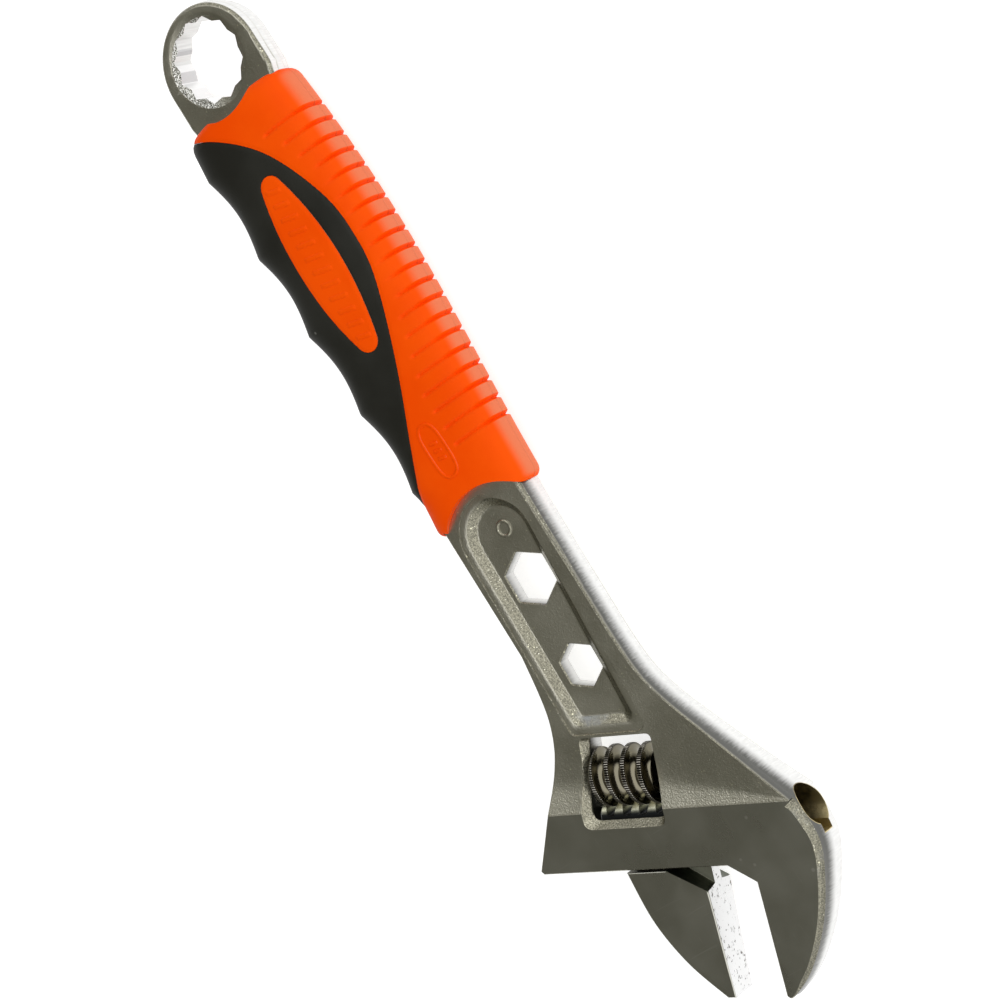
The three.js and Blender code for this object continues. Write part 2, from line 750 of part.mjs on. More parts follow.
const wrench = new THREE.Group();
for (const [name, solid, look] of parts) {
  const mesh = new THREE.Mesh(geometryOf(solid.simplify(meshTolerance)), look);
  mesh.name = name;
  wrench.add(mesh);
}
const box = new THREE.Box3().setFromObject(wrench);
wrench.position.set(-(box.min.x + box.max.x) / 2, -(box.min.y + box.max.y) / 2, -box.min.z);

const root = new THREE.Group();
root.add(wrench);
export default root;
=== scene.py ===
import math
import time

import bmesh
import bpy
import numpy as np
from mathutils import Matrix, Vector


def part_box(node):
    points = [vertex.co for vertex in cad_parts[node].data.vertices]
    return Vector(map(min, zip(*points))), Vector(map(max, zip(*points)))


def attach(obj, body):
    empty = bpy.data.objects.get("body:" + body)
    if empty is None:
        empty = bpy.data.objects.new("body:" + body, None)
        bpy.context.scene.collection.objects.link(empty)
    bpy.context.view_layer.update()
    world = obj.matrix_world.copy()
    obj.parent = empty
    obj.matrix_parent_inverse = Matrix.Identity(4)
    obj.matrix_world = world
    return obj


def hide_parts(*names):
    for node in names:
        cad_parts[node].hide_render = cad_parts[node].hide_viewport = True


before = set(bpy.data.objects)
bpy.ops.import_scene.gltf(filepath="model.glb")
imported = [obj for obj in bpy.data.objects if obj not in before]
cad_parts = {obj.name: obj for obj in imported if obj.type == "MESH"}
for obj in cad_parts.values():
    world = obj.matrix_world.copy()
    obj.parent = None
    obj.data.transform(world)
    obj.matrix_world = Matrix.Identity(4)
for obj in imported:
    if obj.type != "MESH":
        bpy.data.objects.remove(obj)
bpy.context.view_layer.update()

startTime = time.time()

# Shapes are worked out in millimetres from the centre of the ring hole, on the middle plane, with +X
# along the handle and +Y to the fixed jaw. place() turns them into the part's own metres.
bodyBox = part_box("body")
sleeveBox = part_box("grip_sleeve")
ringReach = 13.0  # ring hole centre to the left end of the ring
spineRise = 18.0  # ring hole centre to the highest line of the grip
origin = np.array([
    bodyBox[0].x + ringReach / 1000,
    sleeveBox[1].y - spineRise / 1000,
    (sleeveBox[0].z + sleeveBox[1].z) / 2,
])

head = {
    "throat": (214.85, 5.1),  # top of the slideway
    "angle": math.radians(-22.5),
    "ground": -14.3,  # u of the line where the ground face begins
    "peak": 6.45,  # half thickness on that line
    "tip": 4.0,  # half thickness at the jaw tips
    "reach": 31.0,  # u of the jaw tips
    "neck": 4.1,  # half thickness of the neck
    "slide": 49.0,  # length of the slideway
    "face": 6.1,  # v of the fixed jaw's gripping face
    "step": 4.0,  # u where that face begins
}
edgeDepth = 2.2  # no edge is rounded further down than this
sideDepth = head["peak"] - edgeDepth
headU = np.array([math.cos(head["angle"]), math.sin(head["angle"])])
headV = np.array([-headU[1], headU[0]])


def stage(text):
    print(f"[{time.time() - startTime:5.1f}s] {text}")


def fromHead(u, v):
    # u out from the slideway, v along it to the fixed jaw
    u, v = np.broadcast_arrays(np.asarray(u, float), np.asarray(v, float))
    return np.array(head["throat"]) + u[..., None] * headU + v[..., None] * headV


def toHead(points):
    away = points[..., :2] - np.array(head["throat"])
    return away @ headU, away @ headV


def smooth(x, low, high):
    t = np.clip((np.asarray(x, float) - low) / (high - low), 0, 1)
    return t * t * (3 - 2 * t)


def spline(points, count):
    # Catmull-Rom: each span is the cubic through its two ends whose slopes are half the chord of the
    # neighbours, with the first and last point doubled
    p = np.asarray(points, float)
    p = np.vstack([p[:1], p, p[-1:]])
    t = np.linspace(0, len(points) - 1, count)
    i = np.minimum(t.astype(int), len(points) - 2)
    w = (t - i)[:, None]
    a, b, c, d = p[i], p[i + 1], p[i + 2], p[i + 3]
    return b + 0.5 * w * (c - a + w * (2 * a - 5 * b + 4 * c - d + w * (3 * (b - c) + d - a)))


def arc(x, y, radius, start, end, count):
    t = np.radians(np.linspace(start, end, count))
    return np.stack([x + radius * np.cos(t), y + radius * np.sin(t)], 1)


def line(start, end, count=2):
    return np.linspace(np.asarray(start, float), np.asarray(end, float), count)


def roundCorners(corners, radii, count=7):
    # each corner becomes the quadratic curve that leaves and meets its sides at the radius's
    # tangent length
    p = np.asarray(corners, float)
    before = np.roll(p, 1, 0) - p
    after = np.roll(p, -1, 0) - p
    before /= np.linalg.norm(before, axis=1)[:, None]
    after /= np.linalg.norm(after, axis=1)[:, None]
    half = np.arccos(np.clip((before * after).sum(1), -1, 1)) / 2
    reach = (np.asarray(radii, float) / np.tan(half))[:, None]
    t = np.linspace(0, 1, count)[None, :, None]
    a, b = p + before * reach, p + after * reach
    curve = (1 - t) ** 2 * a[:, None] + 2 * t * (1 - t) * p[:, None] + t**2 * b[:, None]
    return curve.reshape(-1, 2)


def inwards(outline):
    # mitred normal at each point of a closed anticlockwise outline, pointing in, long enough for
    # its corner
    a = outline - np.roll(outline, 1, 0)
    b = np.roll(outline, -1, 0) - outline
    a /= np.linalg.norm(a, axis=1)[:, None]
    b /= np.linalg.norm(b, axis=1)[:, None]
    na = np.stack([-a[:, 1], a[:, 0]], 1)
    nb = np.stack([-b[:, 1], b[:, 0]], 1)
    spread = np.maximum(1 + (na * nb).sum(1), 0.35)
    return (na + nb) / spread[:, None]


def gridFaces(rows, columns, closed=True):
    # quads between neighbouring rows of a grid, whose last column joins its first if closed
    i = np.arange(rows - 1)[:, None] * columns
    j = np.arange(columns if closed else columns - 1)[None, :]
    k = (j + 1) % columns
    return np.stack([i + j, i + k, i + columns + k, i + columns + j], -1).reshape(-1, 4)


def tubeFaces(rows, columns):
    # as gridFaces, with the last row joined to the first too
    return gridFaces(rows + 1, columns) % (rows * columns)


def newMesh(name, spots, quads, caps=()):
    data = bpy.data.meshes.new(name)
    data.from_pydata(spots.reshape(-1, 3), [], [list(f) for f in quads] + [list(c) for c in caps])
    item = bpy.data.objects.new(name, data)
    bpy.context.scene.collection.objects.link(item)
    return item


def ringsMesh(name, rings):
    # a stack of closed rings joined by quads, with its first and last ring filled
    rows, columns = rings.shape[:2]
    last = (rows - 1) * columns
    caps = [np.arange(columns)[::-1], np.arange(last, last + columns)]
    return newMesh(name, rings, gridFaces(rows, columns), caps)


def stack(name, levels):
    # closed outlines, each at its own height
    return ringsMesh(name, np.stack([np.column_stack([plan, np.full(len(plan), z)]) for plan, z in levels]))


def edit(item, *steps):
    mesh = bmesh.new()
    mesh.from_mesh(item.data)
    for step in steps:
        step(mesh)
    mesh.to_mesh(item.data)
    mesh.free()
    item.data.update()
    return item


def weld(distance=1e-4):
    def step(mesh):
        bmesh.ops.remove_doubles(mesh, verts=mesh.verts, dist=distance)
        bmesh.ops.dissolve_degenerate(mesh, edges=mesh.edges, dist=distance)
    return step


def triangles(mesh):
    bmesh.ops.triangulate(mesh, faces=mesh.faces)


def outwards(mesh):
    bmesh.ops.recalc_face_normals(mesh, faces=mesh.faces)


def cutAcross(point, normal):
    def step(mesh):
        geometry = list(mesh.verts) + list(mesh.edges) + list(mesh.faces)
        bmesh.ops.bisect_plane(mesh, geom=geometry, dist=1e-5, plane_co=point, plane_no=normal)
    return step


def combine(item, other, operation="DIFFERENCE"):
    cut = item.modifiers.new("cut", "BOOLEAN")
    cut.operation = operation
    cut.solver = "MANIFOLD"
    cut.object = other
    evaluated = item.evaluated_get(bpy.context.evaluated_depsgraph_get())
    made = bpy.data.meshes.new_from_object(evaluated)
    item.modifiers.clear()
    old = item.data
    item.data = made
    bpy.data.meshes.remove(old)
    bpy.data.objects.remove(other)
    if not len(made.polygons):
        raise RuntimeError(f"{item.name} lost its mesh")
    return item


def readPoints(item):
    co = np.empty(len(item.data.vertices) * 3)
    item.data.vertices.foreach_get("co", co)
    return co.reshape(-1, 3)


def writePoints(item, co):
    item.data.vertices.foreach_set("co", np.ascontiguousarray(co, float).ravel())
    item.data.update()


def plate(name, outline, inset, drop, flat=0.0, steps=5, crown=0.0, half=head["peak"]):
    # A closed outline carried through a rounded section. On the way up the edge, at the angle t from 0
    # to 90 degrees, the outline moves in by inset times (1 - cos t) and up by drop times sin t; flat
    # blends that arc towards the straight bevel between its ends. The side bulges: it stands in by
    # crown times k squared, k being the share of the way from the middle to the edge.
    normal = inwards(outline)
    inset, drop, flat = (np.broadcast_to(np.asarray(k, float), len(outline)) for k in (inset, drop, flat))
    t = np.linspace(0, 1, steps + 1)[:, None]
    over = (1 - flat) * (1 - np.cos(t * math.pi / 2)) + flat * t
    up = (1 - flat) * np.sin(t * math.pi / 2) + flat * t
    plan = outline[None] + normal[None] * (crown + inset * over)[..., None]
    top = np.dstack([plan, half - drop * (1 - up)])
    bottom = np.dstack([plan, drop * (1 - up) - half])[::-1]
    if not crown:
        return ringsMesh(name, np.vstack([bottom, top]))
    share = np.array([-0.99, -0.75, -0.45, 0, 0.45, 0.75, 0.99])[:, None]
    plan = outline[None] + normal[None] * (crown * share**2 + 0 * drop)[..., None]
    belly = np.dstack([plan, share * sideDepth + 0 * drop])
    return ringsMesh(name, np.vstack([bottom, belly, top]))


def prism(name, outline, low, high):
    return stack(name, [(outline, low), (outline, high)])


def turned(name, u, profile, count=96):
    # a profile of radius and v carried round the line that runs along v at u
    profile = np.asarray(profile, float)
    t = np.linspace(0, 2 * math.pi, count, endpoint=False)
    flat = fromHead(u + profile[:, :1] * np.cos(t), profile[:, 1:] + 0 * t)
    rings = np.dstack([flat, profile[:, :1] * np.sin(t)])
    return edit(ringsMesh(name, rings), outwards)


def headBox(name, uLow, uHigh, vLow, vHigh, half):
    u = np.array([uLow, uHigh, uHigh, uLow])
    v = np.array([vLow, vLow, vHigh, vHigh])
    return prism(name, fromHead(u, v), -half, half)


def mirrored(item, name):
    copy = bpy.data.objects.new(name, item.data.copy())
    bpy.context.scene.collection.objects.link(copy)
    writePoints(copy, readPoints(item) * (1, 1, -1))
    return edit(copy, outwards)


def cutBothSides(item, cutter):
    combine(item, mirrored(cutter, cutter.name + "Back"))
    return combine(item, cutter)


def place(item, body, replaced, sharp, material):
    # into metres and the part's frame, then shading that keeps flat faces flat
    edit(item, weld(2e-4), triangles)
    writePoints(item, readPoints(item) * 0.001 + origin)
    item.data.polygons.foreach_set("use_smooth", np.ones(len(item.data.polygons), bool))
    item.data.set_sharp_from_angle(angle=math.radians(sharp))
    even = item.modifiers.new("even", "WEIGHTED_NORMAL")
    even.keep_sharp = True
    even.weight = 60
    item.data.materials.clear()
    item.data.materials.append(material)
    if replaced:
        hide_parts(*replaced)
    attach(item, body)
    stage(f"{item.name}: {len(item.data.polygons)} triangles")
    return item


def feed(tree, socket, value):
    # a socket takes a link from another node or a plain value
    if isinstance(value, bpy.types.NodeSocket):
        tree.links.new(value, socket)
    else:
        socket.default_value = value


def node(tree, kind, inputs=None, **settings):
    item = tree.nodes.new(kind)
    for key, value in settings.items():
        setattr(item, key, value)
    for key, value in (inputs or {}).items():
        feed(tree, item.inputs[key], value)
    return item


def maths(tree, operation, *values, clamp=False):
    made = node(tree, "ShaderNodeMath", dict(enumerate(values)), operation=operation, use_clamp=clamp)
    return made.outputs[0]


def chain(tree, operation, values):
    # one operation carried on from the first value to the last
    total = values[0]
    for value in values[1:]:
        total = maths(tree, operation, total, value)
    return total


def times(tree, *values):
    return chain(tree, "MULTIPLY", values)


def plus(tree, *values):
    return chain(tree, "ADD", values)


def minus(tree, *values):
    return chain(tree, "SUBTRACT", values)


def above(tree, value, limit):
    return maths(tree, "GREATER_THAN", value, limit)


def below(tree, value, limit):
    return maths(tree, "LESS_THAN", value, limit)


def vectorMaths(tree, operation, a, b=(0, 0, 0), output=0):
    return node(tree, "ShaderNodeVectorMath", {0: a, 1: b}, operation=operation).outputs[output]


def dot(tree, vector, direction):
    return vectorMaths(tree, "DOT_PRODUCT", vector, direction, "Value")


def along(tree, vector, axis):
    # one coordinate of a vector: 0, 1 and 2 are x, y and z
    return node(tree, "ShaderNodeSeparateXYZ", {0: vector}).outputs[axis]


def ramp(tree, value, low, high, outLow=0.0, outHigh=1.0):
    inputs = {"Value": value, "From Min": low, "From Max": high, "To Min": outLow, "To Max": outHigh}
    return node(tree, "ShaderNodeMapRange", inputs, interpolation_type="SMOOTHSTEP").outputs[0]


def mix(tree, share, a, b):
    # colours are three numbers or the output of another node
    made = node(tree, "ShaderNodeMix", {"Factor": share}, data_type="RGBA")
    for socket, value in ((made.inputs[6], a), (made.inputs[7], b)):
        feed(tree, socket, (*value, 1) if isinstance(value, tuple) else value)
    return made.outputs[2]


def noise(tree, vector, scale, detail=3.0, rough=0.55):
    inputs = {"Vector": vector, "Scale": scale, "Detail": detail, "Roughness": rough}
    return node(tree, "ShaderNodeTexNoise", inputs).outputs["Fac"]


def stretch(tree, vector, scale, turn=0.0):
    inputs = {"Vector": vector, "Rotation": (0, 0, turn), "Scale": scale}
    return node(tree, "ShaderNodeMapping", inputs).outputs[0]


def effect(name, inputs, outputs):
    # an empty node group with its named sockets, and its two ends
    group = bpy.data.node_groups.new(name, "ShaderNodeTree")
    for label, value in inputs.items():
        kind = "NodeSocketVector" if value is None else "NodeSocketFloat"
        socket = group.interface.new_socket(label, in_out="INPUT", socket_type=kind)
        if value is not None:
            socket.default_value = value
    for label in outputs:
        group.interface.new_socket(label, in_out="OUTPUT", socket_type="NodeSocketFloat")
    return group, group.nodes.new("NodeGroupInput").outputs, group.nodes.new("NodeGroupOutput").inputs


def forgedGrain():
    # pitted skin of a forging under satin plating: two sizes of grain and pits, with a mask of thin specks
    # for painted sparkle
    outputs = ("Height", "SparkleSpeck", "Cloud", "Coarse")
    group, given, out = effect("forgedGrain", {"Vector": None, "Size": 1.0}, outputs)
    scaled = node(group, "ShaderNodeVectorMath", {0: given["Vector"], 3: given["Size"]}, operation="SCALE")
    at = scaled.outputs[0]
    coarse = noise(group, at, 1500, 4, 0.6)
    fine = noise(group, at, 4200, 2, 0.5)
    pits = node(group, "ShaderNodeTexVoronoi", {"Vector": at, "Scale": 2600.0}).outputs["Distance"]
    height = plus(group, coarse, times(group, fine, 0.45), times(group, pits, 0.5))
    feed(group, out["Height"], height)
    feed(group, out["Coarse"], noise(group, at, 3000, 3, 0.65))
    feed(group, out["SparkleSpeck"], ramp(group, noise(group, at, 2300, 2, 0.5), 0.66, 0.74))
    feed(group, out["Cloud"], noise(group, given["Vector"], 60, 5, 0.6))
    return group


def dustAndGlintSpecks():
    # sparse specks: the middle of few cells of a fine cell pattern, used for real dust and nicks and for
    # painted glints
    group, given, out = effect("dustAndGlintSpecks", {"Vector": None, "Scale": 500.0, "Share": 0.1}, ["Mask"])
    inputs = {"Vector": given["Vector"], "Scale": given["Scale"]}
    cells = node(group, "ShaderNodeTexVoronoi", inputs).outputs
    chosen = below(group, dot(group, cells["Color"], (0.5, 0.5, 0.0)), given["Share"])
    feed(group, out["Mask"], times(group, chosen, ramp(group, cells["Distance"], 0.26, 0.12)))
    return group


def handScratches():
    # thin scratches in three directions, from noise stretched along each
    group, given, out = effect("handScratches", {"Vector": None, "Scale": 1.0}, ["Mask"])
    marks = []
    for turn, scale in ((0.5, (2600, 90, 900)), (1.35, (110, 2200, 900)), (-0.3, (1900, 60, 900))):
        streaks = noise(group, stretch(group, given["Vector"], scale, turn), 1.0, 2, 0.5)
        marks.append(ramp(group, streaks, 0.68, 0.76))
    feed(group, out["Mask"], times(group, chain(group, "MAXIMUM", marks), given["Scale"]))
    return group


def useEffect(tree, group, **inputs):
    return node(tree, "ShaderNodeGroup", inputs, node_tree=group).outputs


def startMaterial(name, **fixed):
    item = bpy.data.materials.new(name)
    item.use_nodes = True
    tree = item.node_tree
    shader = tree.nodes["Principled BSDF"].inputs
    for key, value in fixed.items():
        shader[key.replace("_", " ")].default_value = value
    where = node(tree, "ShaderNodeTexCoord").outputs["Object"]
    return item, tree, shader, where


def finishMaterial(item, tree, shader, colour, rough, height, depth):
    # colour, roughness and relief; depth is how far in metres a height of 1 stands out
    feed(tree, shader["Base Color"], colour)
    feed(tree, shader["Roughness"], rough)
    relief = node(tree, "ShaderNodeBump", {"Height": height, "Distance": depth, "Strength": 1.0})
    feed(tree, shader["Normal"], relief.outputs[0])
    return item


grain = forgedGrain()
specks = dustAndGlintSpecks()
scratches = handScratches()
throat = tuple(np.array([*head["throat"], 0.0]) * 0.001 + origin)
middle = float(origin[2])
ringCentre = tuple(float(c) for c in origin + np.array([0.0016, 0, 0]))
neckPlace = float(origin[0]) + 0.118  # x where the grip ends and the bare neck begins


def headCoordinates(tree, where):
    # distances in metres from the throat, along u and v
    away = vectorMaths(tree, "SUBTRACT", where, throat)
    return dot(tree, away, (*headU, 0)), dot(tree, away, (*headV, 0))


def liftOf(tree, where):
    return minus(tree, along(tree, where, 2), middle)


def sizeOf(tree, value):
    return maths(tree, "ABSOLUTE", value)


def rootOfSquares(tree, a, b):
    # the root of the sum of two squares
    return maths(tree, "SQRT", plus(tree, times(tree, a, a), times(tree, b, b)))


def normalOf(tree):
    # the surface's normal, and the size of its z: 1 on the faces, 0 on the sides
    normal = node(tree, "ShaderNodeNewGeometry").outputs["Normal"]
    return normal, sizeOf(tree, along(tree, normal, 2))


forgedLook = {
    "cast": ((0.56, 0.54, 0.45), (0.68, 0.66, 0.56)),
    "fan": (1.0, 0.97, 0.83),
    "grit": ((0.11, 0.105, 0.075), (0.42, 0.4, 0.3)),
    "gritBlue": (0.27, 0.285, 0.3),
    "gritShade": (0.02, 0.02, 0.01),
    "sparkleSpeck": (1.0, 0.98, 0.82),
    "glint": (1.0, 0.97, 0.72),
    "side": ((0.62, 0.62, 0.61), (0.88, 0.88, 0.87)),
    "sideEdgeShade": (0.12, 0.12, 0.112),
    "facet": ((0.3, 0.3, 0.31), (0.9, 0.9, 0.9)),
    "sparkle": ((0.2, 0.195, 0.16), (1.0, 1.0, 0.95)),
    "bore": ((0.14, 0.11, 0.06), (0.62, 0.52, 0.28)),
    "boreDeepShade": (0.05, 0.05, 0.045),
    "depth": 0.000055,
}
groundLook = {
    "steel": ((0.52, 0.515, 0.45), (0.57, 0.565, 0.5)),
    "dust": (0.85, 0.83, 0.78),
    "scratch": (0.7, 0.69, 0.64),
    "tooth": ((0.5, 0.5, 0.36), (0.85, 0.85, 0.68)),
    "rackGapShade": (0.05, 0.055, 0.06),
    "gripping": ((0.82, 0.82, 0.82), (0.12, 0.11, 0.1)),
    "coveShade": (0.09, 0.1, 0.07),
    "depth": 0.00004,
}
# painted shade: the valleys and the notches of the crests are dark
wormLook = {
    "valley": ((0.15, 0.138, 0.095), (0.27, 0.248, 0.185)),
    "crest": ((0.62, 0.58, 0.5), (0.8, 0.77, 0.7)),
    "notch": (0.06, 0.055, 0.045),
    "depth": 0.00003,
}
# the moulding seam line, and the colour and direction of a painted sheen on the spine
seamAndSheenLook = {"line": (0.3, 0.03, 0.004), "sheenColour": (0.7, 0.24, 0.125), "sheenToward": (0.15, 0.98, 0.0)}


def forgedSteel():
    look = forgedLook
    item, tree, shader, where = startMaterial("forgedSteel", Metallic=1.0)
    u, v = headCoordinates(tree, where)
    grains = useEffect(tree, grain, Vector=where, Size=1.0)
    cloud, coarse = grains["Cloud"], grains["Coarse"]
    normal, facing = normalOf(tree)
    lift = liftOf(tree, where)
    groundLine = head["ground"] * 0.001
    ground = times(tree, above(tree, u, groundLine), ramp(tree, facing, 0.93, 0.97))
    wall = ramp(tree, facing, 0.5, 0.2)
    sloped = times(tree, ramp(tree, facing, 0.97, 0.88), ramp(tree, facing, 0.25, 0.45))

    # the fan of coarse grain widens along the ground line, away from the fixed jaw
    side = maths(tree, "DIVIDE", minus(tree, 0.02, v), 0.035, clamp=True)
    width = plus(tree, times(tree, side, 0.0082), 0.0004)
    before = maths(tree, "DIVIDE", minus(tree, groundLine, u), width)
    fan = times(tree, ramp(tree, before, 1.0, 0.45), above(tree, before, 0.0), ramp(tree, facing, 0.9, 0.96))
    cast = mix(tree, fan, mix(tree, cloud, *look["cast"]), look["fan"])

    # the sloping walls are grittier, with bluish clouds, and darker towards the neck and the fixed jaw
    grit = mix(tree, ramp(tree, coarse, 0.4, 0.6), *look["grit"])
    grit = mix(tree, ramp(tree, cloud, 0.58, 0.72), grit, look["gritBlue"])
    grit = mix(tree, below(tree, u, -0.036), grit, mix(tree, 0.3, grit, look["gritShade"]))
    grit = mix(tree, above(tree, v, 0.008), grit, mix(tree, 0.35, grit, look["gritShade"]))
    cast = mix(tree, times(tree, sloped, 0.85), cast, grit)
    # painted sparkle: thin bright specks, more of them on the sloping walls
    sparkleSpeck = times(tree, grains["SparkleSpeck"], plus(tree, 0.55, times(tree, sloped, 0.45)))
    cast = mix(tree, sparkleSpeck, cast, look["sparkleSpeck"])
    # painted glints: sparse bright specks
    glint = useEffect(tree, specks, Vector=where, Scale=1100.0, Share=0.21)
    cast = mix(tree, times(tree, glint[0], 0.8), cast, look["glint"])

    # the sides are filed across; a painted shade darkens them towards the front edge of the neck and head
    lines = noise(tree, stretch(tree, where, (2400, 2400, 120)), 1.0, 2, 0.5)
    x = along(tree, where, 0)
    edge = ramp(tree, plus(tree, lift, times(tree, lines, 0.0022)), 0.0001, 0.0042)
    edge = times(tree, edge, above(tree, x, neckPlace))
    sides = mix(tree, edge, mix(tree, lines, *look["side"]), look["sideEdgeShade"])

    # the facets of the ring hole catch the light in turn
    fromRing = vectorMaths(tree, "SUBTRACT", where, ringCentre)
    spread = vectorMaths(tree, "LENGTH", vectorMaths(tree, "MULTIPLY", fromRing, (1, 1, 0)), output="Value")
    turned = ramp(tree, dot(tree, normal, (-0.5, 0.86, 0.0)), 0.2, 1.0, 0.35, 1.0)
    inRing = times(tree, below(tree, x, ringCentre[0] + 0.0103), below(tree, spread, 0.0103))
    sides = mix(tree, inRing, sides, mix(tree, turned, *look["facet"]))
    cast = mix(tree, wall, cast, sides)

    # the countersinks of the ring are rough; painted sparkle lights only the side of each whose normal turns
    # to +x and +y
    sunk = times(
        tree, below(tree, spread, 0.0113), ramp(tree, facing, 0.99, 0.96), ramp(tree, facing, 0.3, 0.6),
        ramp(tree, dot(tree, normal, (0.45, 0.9, 0.0)), -0.12, 0.06),
    )
    cast = mix(tree, sunk, cast, mix(tree, ramp(tree, coarse, 0.44, 0.56), *look["sparkle"]))

    dust = useEffect(tree, specks, Vector=where, Scale=420.0, Share=0.12)
    marks = useEffect(tree, scratches, Vector=where, Scale=0.25)
    smoothFace = mix(tree, cloud, *groundLook["steel"])
    smoothFace = mix(tree, times(tree, dust[0], 0.6), smoothFace, groundLook["dust"])
    smoothFace = mix(tree, marks[0], smoothFace, groundLook["scratch"])
    colour = mix(tree, ground, cast, smoothFace)

    # inside the bore and its slot the plating is thin and brown; further from the bore's open end it is
    # painted nearly black as shade
    boreEdge = (rack["radius"] + rack["gap"] + 0.12) * 0.001
    slotEdge = (rack["web"] + rack["gap"] + 0.02) * 0.001
    bore = below(tree, rootOfSquares(tree, plus(tree, u, -rack["axis"] * 0.001), lift), boreEdge)
    inSlot = maths(tree, "COMPARE", u, -0.0083, 0.003)
    bore = chain(tree, "MAXIMUM", (bore, times(tree, below(tree, sizeOf(tree, lift), slotEdge), inSlot)))
    inside = mix(tree, ramp(tree, cloud, 0.42, 0.58), *look["bore"])
    inside = mix(tree, above(tree, v, 0.004), look["boreDeepShade"], inside)
    colour = mix(tree, bore, colour, inside)

    rough = plus(tree, ramp(tree, cloud, 0.3, 0.7, 0.3, 0.38), times(tree, ground, -0.04))
    strength = minus(tree, 1.0, times(tree, ground, 0.95), times(tree, wall, 0.8))
    strength = plus(tree, strength, times(tree, fan, 0.5), times(tree, sunk, 5.0))
    height = plus(tree, times(tree, grains["Height"], strength), times(tree, lines, wall, 0.5))
    return finishMaterial(item, tree, shader, colour, rough, height, look["depth"])


def groundSteel():
    look = groundLook
    item, tree, shader, where = startMaterial("groundSteel", Metallic=1.0)
    u, v = headCoordinates(tree, where)
    grains = useEffect(tree, grain, Vector=where, Size=1.0)
    dust = useEffect(tree, specks, Vector=where, Scale=380.0, Share=0.12)
    marks = useEffect(tree, scratches, Vector=where, Scale=0.5)
    colour = mix(tree, grains["Cloud"], *look["steel"])
    colour = mix(tree, times(tree, dust[0], 0.5), colour, look["dust"])

    # painted shade: the rack is painted nearly black deep in its gaps, behind its tooth tops
    toothed = below(tree, u, -0.0075)
    deep = ramp(tree, u, -0.0142, -0.0128)
    worn = times(tree, above(tree, grains["Coarse"], 0.47), 0.5)
    rackShaded = mix(tree, deep, mix(tree, worn, *look["tooth"]), look["rackGapShade"])
    colour = mix(tree, toothed, colour, rackShaded)
    colour = mix(tree, marks[0], colour, look["scratch"])

    # painted shade: the cove beside the throat is painted dark
    normal, facing = normalOf(tree)
    toJaw = dot(tree, normal, (*headV, 0))
    coveShade = times(
        tree, ramp(tree, facing, 0.97, 0.9), above(tree, sizeOf(tree, liftOf(tree, where)), 0.00165),
        maths(tree, "COMPARE", u, 0.0026, 0.0031), maths(tree, "COMPARE", v, -0.011, 0.0049),
        ramp(tree, toJaw, 0.97, 0.9),
    )
    colour = mix(tree, coveShade, colour, look["coveShade"])

    # the gripping face is whiter, with dark nicks and pits
    gripping = times(tree, ramp(tree, toJaw, 0.9, 0.97), above(tree, u, -0.001))
    pits = ramp(tree, noise(tree, stretch(tree, where, (380, 1300, 800), 0.39), 1.0, 5, 0.75), 0.58, 0.62)
    nicks = useEffect(tree, specks, Vector=where, Scale=900.0, Share=0.28)
    dark = chain(tree, "MAXIMUM", (pits, nicks[0]))
    colour = mix(tree, gripping, colour, mix(tree, dark, *look["gripping"]))
    rough = ramp(tree, grains["Cloud"], 0.3, 0.7, 0.27, 0.36)
    height = plus(tree, times(tree, grains["Height"], 0.07), times(tree, dark, gripping, -0.6))
    return finishMaterial(item, tree, shader, colour, rough, height, look["depth"])


def wormSteel():
    look = wormLook
    item, tree, shader, where = startMaterial("wormSteel", Metallic=1.0)
    grains = useEffect(tree, grain, Vector=where, Size=1.6)
    u = headCoordinates(tree, where)[0]
    radius = rootOfSquares(tree, plus(tree, u, -worm["axis"] * 0.001), liftOf(tree, where))
    # painted shade: the notches of the crests and the valleys are painted dark
    crest = mix(tree, grains["Cloud"], *look["crest"])
    crest = mix(tree, ramp(tree, radius, 0.0071, 0.0068), crest, look["notch"])
    valley = mix(tree, grains["Cloud"], *look["valley"])
    colour = mix(tree, ramp(tree, radius, 0.0064, 0.0069), valley, crest)
    rough = ramp(tree, grains["Cloud"], 0.3, 0.7, 0.13, 0.21)
    height = times(tree, grains["Height"], 0.2)
    return finishMaterial(item, tree, shader, colour, rough, height, look["depth"])


def pinSteel(name, colour, rough):
    item, tree, shader, where = startMaterial(name, Metallic=1.0)
    grains = useEffect(tree, grain, Vector=where, Size=1.5)
    tint = mix(tree, grains["Cloud"], colour, tuple(1.2 * c for c in colour))
    shine = ramp(tree, grains["Cloud"], 0.3, 0.7, rough - 0.05, rough + 0.05)
    return finishMaterial(item, tree, shader, tint, shine, times(tree, grains["Height"], 0.3), 0.00003)


def softGrip(name, look):
    item, tree, shader, where = startMaterial(name, Specular_IOR_Level=look["sheen"])
    cloud = noise(tree, where, 45, 5, 0.6)
    colour = mix(tree, ramp(tree, cloud, 0.35, 0.65), *look["colour"])
    dust = useEffect(tree, specks, Vector=where, Scale=520.0, Share=look["dustShare"])
    colour = mix(tree, times(tree, dust[0], 0.55), colour, look["dust"])
    height = times(tree, noise(tree, where, 2600, 2, 0.5), 0.5)
    if look["seamAndSheen"]:
        line = ramp(tree, sizeOf(tree, liftOf(tree, where)), 0.00035, 0.0001)
        colour = mix(tree, times(tree, line, 0.2), colour, seamAndSheenLook["line"])
        height = plus(tree, height, times(tree, line, 2.5))
        # painted sheen: the spine is paler where it faces +y
        spineSheen = ramp(tree, dot(tree, normalOf(tree)[0], seamAndSheenLook["sheenToward"]), 0.6, 1.0)
        colour = mix(tree, times(tree, spineSheen, 0.7), colour, seamAndSheenLook["sheenColour"])
    rough = ramp(tree, cloud, 0.3, 0.7, look["rough"] - 0.05, look["rough"] + 0.05)
    return finishMaterial(item, tree, shader, colour, rough, height, 0.00003)


